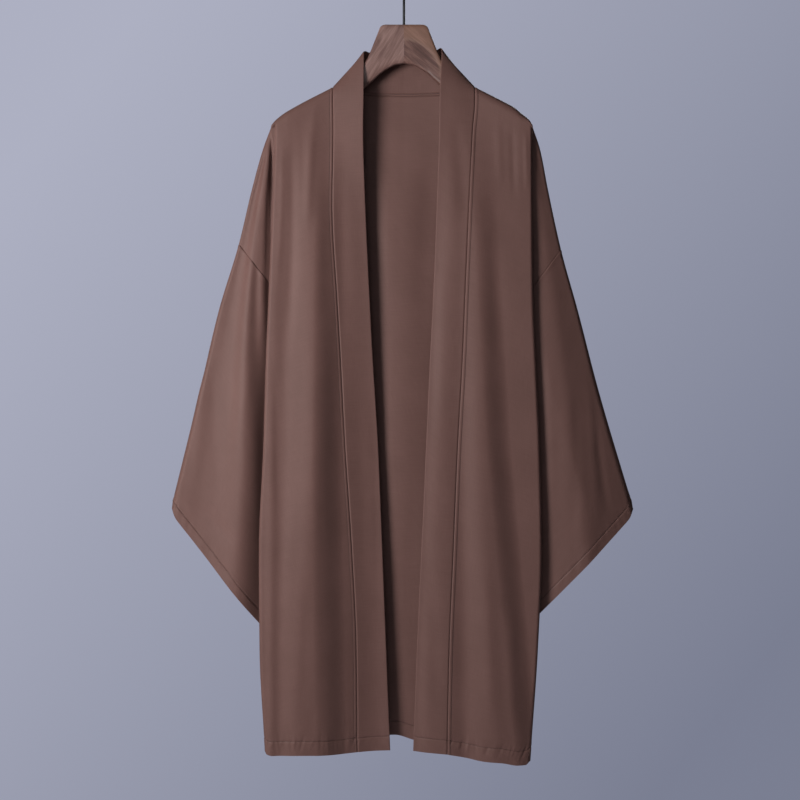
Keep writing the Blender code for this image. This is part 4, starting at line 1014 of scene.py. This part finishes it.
# The hem's corner at the top fold is drawn in by its stitches: how far, how wide, from which share
# of the length on, and its way in and up
CUFF_CORNER, CUFF_CORNER_WIDE, CUFF_CORNER_FROM = 0.006, 0.009, 0.95
CUFF_CORNER_WAY = (0.45, 0.9)
ARMHOLE_SUNK, ARMHOLE_SUNK_WIDE = 0.0014, 0.0011
ARMHOLE_RAISED, ARMHOLE_ALLOWANCE = 0.0004, 0.006
# Small creases of each sleeve's front, as for the panels
SLEEVE_CREASES = {
    LEFT: (
        ((-0.345, -0.830), (-0.262, -0.905), 0.0110, -0.0010, 0.004),
        ((-0.318, -0.600), (-0.330, -0.830), 0.0090, 0.0009, 0.003),
        ((-0.300, -0.560), (-0.286, -0.880), 0.0100, -0.0009, -0.004),
        ((-0.240, -0.620), (-0.232, -0.960), 0.0080, 0.0008, 0.003),
    ),
    RIGHT: (
        ((0.268, -0.640), (0.262, -0.930), 0.0080, -0.0008, 0.003),
        ((0.300, -0.700), (0.322, -0.870), 0.0060, -0.0010, -0.002),
        ((0.286, -0.620), (0.300, -0.900), 0.0070, 0.0008, 0.002),
        ((0.225, -0.560), (0.228, -0.980), 0.0080, 0.0007, 0.002),
    ),
}


def sleeve_points(half):
    """Columns round the sleeve, front then back, each running from the armhole to the cuff."""
    top_start, top_end = half.armhole_top, half.cuff_top
    middle = np.linspace(ARMHOLE_ROWS[-1], SLEEVE_LENGTH - CUFF_ROWS[0], SLEEVE_ROWS)[1:-1]
    rows = np.concatenate([ARMHOLE_ROWS, middle, SLEEVE_LENGTH - CUFF_ROWS]) / SLEEVE_LENGTH
    top_height = blend(top_start, top_end, rows)
    top_out = half.top_line(top_height)
    low_out = blend(half.underarm[0], half.cuff_bottom[0], rows)
    low_height = blend(half.underarm[1], half.cuff_bottom[1], rows)
    across_length = np.hypot(top_out - low_out, top_height - low_height)
    across = ((1 - np.cos(math.pi * np.linspace(0, 1, AROUND))) / 2)[:, None]
    out, height = blend(top_out, low_out, across), blend(top_height, low_height, across)
    near_corner = np.exp(-((across * across_length / CUFF_CORNER_WIDE) ** 2))
    drawn = CUFF_CORNER * near_corner * ease((rows - CUFF_CORNER_FROM) / 0.05)
    out, height = out - CUFF_CORNER_WAY[0] * drawn, height + CUFF_CORNER_WAY[1] * drawn
    centre = sleeve_middle(half, out, height)
    layers = []
    for layer in ("front", "back"):
        level = sleeve_level(layer, half, out, height)
        radius = np.maximum(np.abs(level - centre), SPREAD_LEAST)
        opened = rolled(across * across_length, radius) * rolled((1 - across) * across_length, radius)
        layers.append(np.stack([half.side * out, blend(centre, level, opened), height], axis=-1))
    ring = np.concatenate([layers[0], layers[1][-2:0:-1]])
    return ring[::-1] if half.side == RIGHT else ring


for half, name in ((left_half, "sleeve_left"), (right_half, "sleeve_right")):
    grid = sleeve_points(half)
    normals = grid_normals(grid, closed=True)
    lengths = cloth_lengths(grid)
    away = -lengths[..., 1]
    above = away[:, -1:] - away
    seen = normals[..., 1] < -0.2
    relief = np.where(seen, creased(grid, SLEEVE_CREASES[half.side]), 0.0)
    dice = np.random.default_rng(41 + half.side)
    relief = relief + hem_relief(lengths[:, -1:, 0], above, CUFF_HEM, dice)
    sunk = ARMHOLE_SUNK * np.exp(-((away / ARMHOLE_SUNK_WIDE) ** 2))
    relief = relief - sunk + ARMHOLE_RAISED * ease((ARMHOLE_ALLOWANCE - away) / 0.002)
    grid = grid + normals * relief[..., None]
    sleeve = make_cloth(name + "_cloth", grid, normals, CLOTH, crepe, closed=True)
    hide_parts(name)
    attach(sleeve, "root")
    make_stitches(name + "_stitches", ((grid[:, CUFF_STITCH_ROW], normals[:, CUFF_STITCH_ROW], CLOTH / 2),))

# The collar. One straight band of doubled crepe, sewn along the fronts and round the back of the neck.
# Its free edge is a fold. Behind the neck it stands up, and over the shoulders it turns and lies down.
BAND_THICK = 0.0018
BAND_FOLD_RADIUS = 0.0012
BAND_SEAM_SUNK = 0.0010
BAND_ACROSS = np.array((0, 0.4, 0.9, 1.6, 2.6, 4.5, 7, 10, 13.5, 17, 20.5, 24, 27.5, 31, 34.5, 38, 41,
                        44, 46.5, 48.5, 49.8, 50.5, 50.9, 51)) / 51
BAND_TURN = {
    "seam_out": (0.0000, 0.0450, 0.0750, 0.0950, 0.1010, 0.1060, 0.1110),
    "out": (0.0000, 0.0370, 0.0520, 0.0575, 0.0590, 0.0600, 0.0600),
    "back": (0.0215, 0.0200, 0.0160, 0.0090, 0.0050, 0.0010, -0.0030),
    "height": (-0.1345, -0.1330, -0.1318, -0.1318, -0.1326, -0.1340, -0.1370),
}
BAND_CORNER_OUT = {LEFT: 0.0625, RIGHT: 0.0590}
BAND_STANDS = {LEFT: 0.003, RIGHT: 0.008}      # higher than that beside the neck, and half as much in front
STANDS_ROUND_NECK = (0.0, 0.06, 0.095, 0.104, 0.111), (0.0, 0.5, 1.0, 0.9, 0.5)
ROUND_NECK_ROWS = 60
# Small creases, as for the panels
COLLAR_CREASES = (
    ((-0.095, -0.300), (-0.075, -0.560), 0.0120, 0.0007, 0.003),
    ((-0.060, -0.640), (-0.050, -1.000), 0.0100, 0.0007, 0.002),
    ((0.074, -0.215), (0.094, -0.420), 0.0110, -0.0014, 0.004),
    ((0.056, -0.100), (0.038, -0.780), 0.0210, -0.0036, 0.000),
    ((0.062, -0.420), (0.058, -0.760), 0.0100, 0.0007, -0.003),
    ((0.036, -0.860), (0.050, -1.190), 0.0090, -0.0007, 0.002),
)


def collar_edges(half):
    """The band's seam edge and free edge, from the hem up to the middle of the neck."""
    low = FOLD_HEIGHTS[0]
    seam_hem = float(half.front_hem(half.collar_seam(low)))
    seam = flat_part("front", half, np.zeros(1), np.zeros(1), np.array([seam_hem]))[0]
    upper, fall = seam[:TOP_ROWS], seam[TOP_ROWS:]
    top = upper[-1, 2]
    share = (top - fall[:, 2]) / (top - seam_hem)
    free_z = blend(top, half.hem_at_opening, share)
    free_out = half.opening(fall[:, 2])
    free = np.stack([free_out, main_level("front", half, free_out, free_z), free_z], axis=-1)
    turn = 1 - np.linspace(0, 1, TOP_ROWS)
    corner = BAND_CORNER_OUT[half.side]
    start = np.array([float(half.opening(top)), 0.0, top])
    start[1] = main_level("front", half, start[0], top)
    over = np.stack([
        blend(start[0], corner, ease(turn)),
        blend(start[1], BAND_TURN["back"][-1], turn**2),
        blend(start[2], BAND_TURN["height"][-1] + BAND_STANDS[half.side] / 2, turn),
    ], axis=-1)
    round_neck = np.linspace(BAND_TURN["seam_out"][-1], 0.0, ROUND_NECK_ROWS)[1:]
    behind_seam = np.stack([round_neck, neck_back(round_neck), neck_height(round_neck)], axis=-1)
    behind_free = [curve(BAND_TURN, "seam_out", part)(round_neck) for part in ("out", "back", "height")]
    behind_free = np.stack(behind_free, axis=-1)
    behind_free[:, 0] *= corner / BAND_TURN["out"][-1]
    behind_free[:, 2] += BAND_STANDS[half.side] * np.interp(round_neck, *STANDS_ROUND_NECK)
    seam_edge = np.concatenate([fall[::-1], upper[::-1], behind_seam])
    free_edge = np.concatenate([free[::-1], over[::-1], behind_free])
    sides = np.array([half.side, 1, 1])
    return seam_edge * sides, free_edge * sides


def collar_points():
    """Columns across the band, rows along it from the left hem round the neck to the right hem."""
    left_seam, left_free = collar_edges(left_half)
    right_seam, right_free = collar_edges(right_half)
    seam = np.concatenate([left_seam, right_seam[-2::-1]])
    free = np.concatenate([left_free, right_free[-2::-1]])
    band = blend(seam[None], free[None], BAND_ACROSS[:, None, None])
    hanging = len(left_seam) - TOP_ROWS - (ROUND_NECK_ROWS - 1)
    for half, rows in ((left_half, slice(0, hanging)), (right_half, slice(len(seam) - hanging, None))):
        band[:, rows, 1] = main_level("front", half, np.abs(band[:, rows, 0]), band[:, rows, 2])
    return band


grid = collar_points()
normals = -grid_normals(grid)
wide = np.linalg.norm(grid[-1] - grid[0], axis=-1)
from_fold = wide * (1 - BAND_ACROSS)[:, None]
thick = BAND_THICK * np.maximum(rolled(from_fold, BAND_FOLD_RADIUS), 0.05)
run = -cloth_lengths(grid)[..., 1]
from_seam = wide * BAND_ACROSS[:, None]
sunk = -BAND_SEAM_SUNK * np.exp(-((from_seam / BAND_SEAM_SUNK) ** 2))
dice = np.random.default_rng(61)
above = np.minimum(run, run[:, -1:] - run)
ends = hem_relief(from_seam, above, HEM_DEPTH, dice, strong=0.5)
grid = grid + normals * (sunk + ends + creased(grid, COLLAR_CREASES))[..., None]
collar = make_cloth("collar_band", grid, normals, thick, crepe)
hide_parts("collar")
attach(collar, "root")
make_stitches("collar_stitches", [
    (grid[1:-4, row], normals[1:-4, row], BAND_THICK / 2) for row in (-1 - HEM_STITCH_ROW, HEM_STITCH_ROW)
])

# The studio. A plain pale floor well below the hem, a wall all round with painted light that makes it
# paler to the upper left, soft light from the left, and the camera at the photograph's angle: level with
# the middle of the robe, 2.6 m in front of it.
FLOOR = -1.90
FLOOR_RADIUS = 2.4
FLOOR_DARK, FLOOR_PALE = (0.66, 0.67, 0.72), (0.70, 0.71, 0.76)
CAMERA = (-0.0062, -2.630, -0.6778)
FOCAL_PIXELS = 1677.0
FRAME_PIXELS = 800
WALL_RADIUS = 9.0
# The wall's glow is painted light: paler towards this side, the upper left, and darker away from it, as if
# lit from there.
WALL_PAINTED_LIGHT_SIDE = (-1.0, 0.0, 0.8)
WALL_SPREAD = 0.42
WALL_PAINTED_LIT = (0.420, 0.435, 0.540)
WALL_PAINTED_SHADE = (0.195, 0.210, 0.285)
AIR = (0.024, 0.024, 0.027, 1.0)
# Each light's name, place, target, width, power and colour
LIGHTS = (
    ("key", (-1.20, -1.27, -0.36), (0, 0, -0.55), 0.70, 31.0, (1.0, 0.98, 0.95)),
    ("front", (-0.3, -2.9, 0.6), (0, 0, -0.60), 1.6, 7.0, (0.97, 0.98, 1.0)),
    ("behind", (0.5, 2.6, 0.8), (0, 0, -0.65), 1.8, 28.0, (1.0, 0.99, 0.97)),
)


def make_floor():
    material, tree, shader = new_material("studio_floor")
    place = add(tree, "TexCoord").outputs["Object"]
    noise = add(tree, "TexNoise", {"Vector": place, "Scale": 3.0, "Detail": 3.0})
    tone = ramp(tree, noise.outputs["Fac"], (0.3, FLOOR_DARK), (0.7, FLOOR_PALE))
    tree.links.new(tone, shader.inputs["Base Color"])
    shader.inputs["Roughness"].default_value = 0.9
    shape = bmesh.new()
    bmesh.ops.create_circle(shape, cap_ends=True, segments=96, radius=FLOOR_RADIUS)
    mesh = bpy.data.meshes.new("studio_floor")
    shape.to_mesh(mesh)
    shape.free()
    floor = new_object("studio_floor", mesh, material)
    floor.location.z = FLOOR


def make_light(name, place, target, size, power, color):
    lamp = bpy.data.lights.new(name, "AREA")
    lamp.shape = "DISK"
    lamp.size = size
    lamp.energy = power
    lamp.color = color
    light = bpy.data.objects.new(name, lamp)
    bpy.context.scene.collection.objects.link(light)
    light.location = place
    light.rotation_euler = (Vector(target) - Vector(place)).to_track_quat("-Z", "Y").to_euler()
    light.visible_camera = False


def make_wall():
    """A wall all round, pale grey-blue, with painted light that makes it paler to the upper left. It gives
    no light itself.
    """
    material, tree, shader = new_material("studio_wall")
    toward = add(tree, "TexCoord").outputs["Object"]
    slant = add(tree, "VectorMath", {0: toward, 1: WALL_PAINTED_LIGHT_SIDE}, operation="DOT_PRODUCT")
    reach = WALL_SPREAD * WALL_RADIUS
    share = add(tree, "MapRange", {"Value": slant.outputs["Value"], "From Min": -reach, "From Max": reach})
    tone = ramp(tree, share.outputs["Result"], (0.0, WALL_PAINTED_SHADE), (1.0, WALL_PAINTED_LIT))
    glow = add(tree, "Emission", {"Color": tone})
    tree.links.new(glow.outputs["Emission"], tree.nodes["Material Output"].inputs["Surface"])
    tree.nodes.remove(shader)
    shape = bmesh.new()
    bmesh.ops.create_uvsphere(shape, u_segments=96, v_segments=48, radius=WALL_RADIUS)
    mesh = bpy.data.meshes.new("studio_wall")
    shape.to_mesh(mesh)
    shape.free()
    wall = new_object("studio_wall", mesh, material)
    wall.location.z = CAMERA[2]
    wall.visible_diffuse = wall.visible_glossy = wall.visible_shadow = False


def make_air():
    """The little light that comes back from the room, from every side."""
    world = bpy.data.worlds.new("studio")
    world.use_nodes = True
    bpy.context.scene.world = world
    background = world.node_tree.nodes["Background"]
    background.inputs["Color"].default_value = AIR
    background.inputs["Strength"].default_value = 1.0


def make_camera():
    lens = bpy.data.cameras.new("camera")
    lens.sensor_width = 36.0
    lens.lens = FOCAL_PIXELS * lens.sensor_width / FRAME_PIXELS
    camera = bpy.data.objects.new("camera", lens)
    bpy.context.scene.collection.objects.link(camera)
    camera.location = CAMERA
    camera.rotation_euler = (math.radians(90), 0, 0)
    bpy.context.scene.camera = camera


make_floor()
for light in LIGHTS:
    make_light(*light)
make_wall()
make_air()
make_camera()
bpy.context.scene.view_settings.view_transform = "Standard"
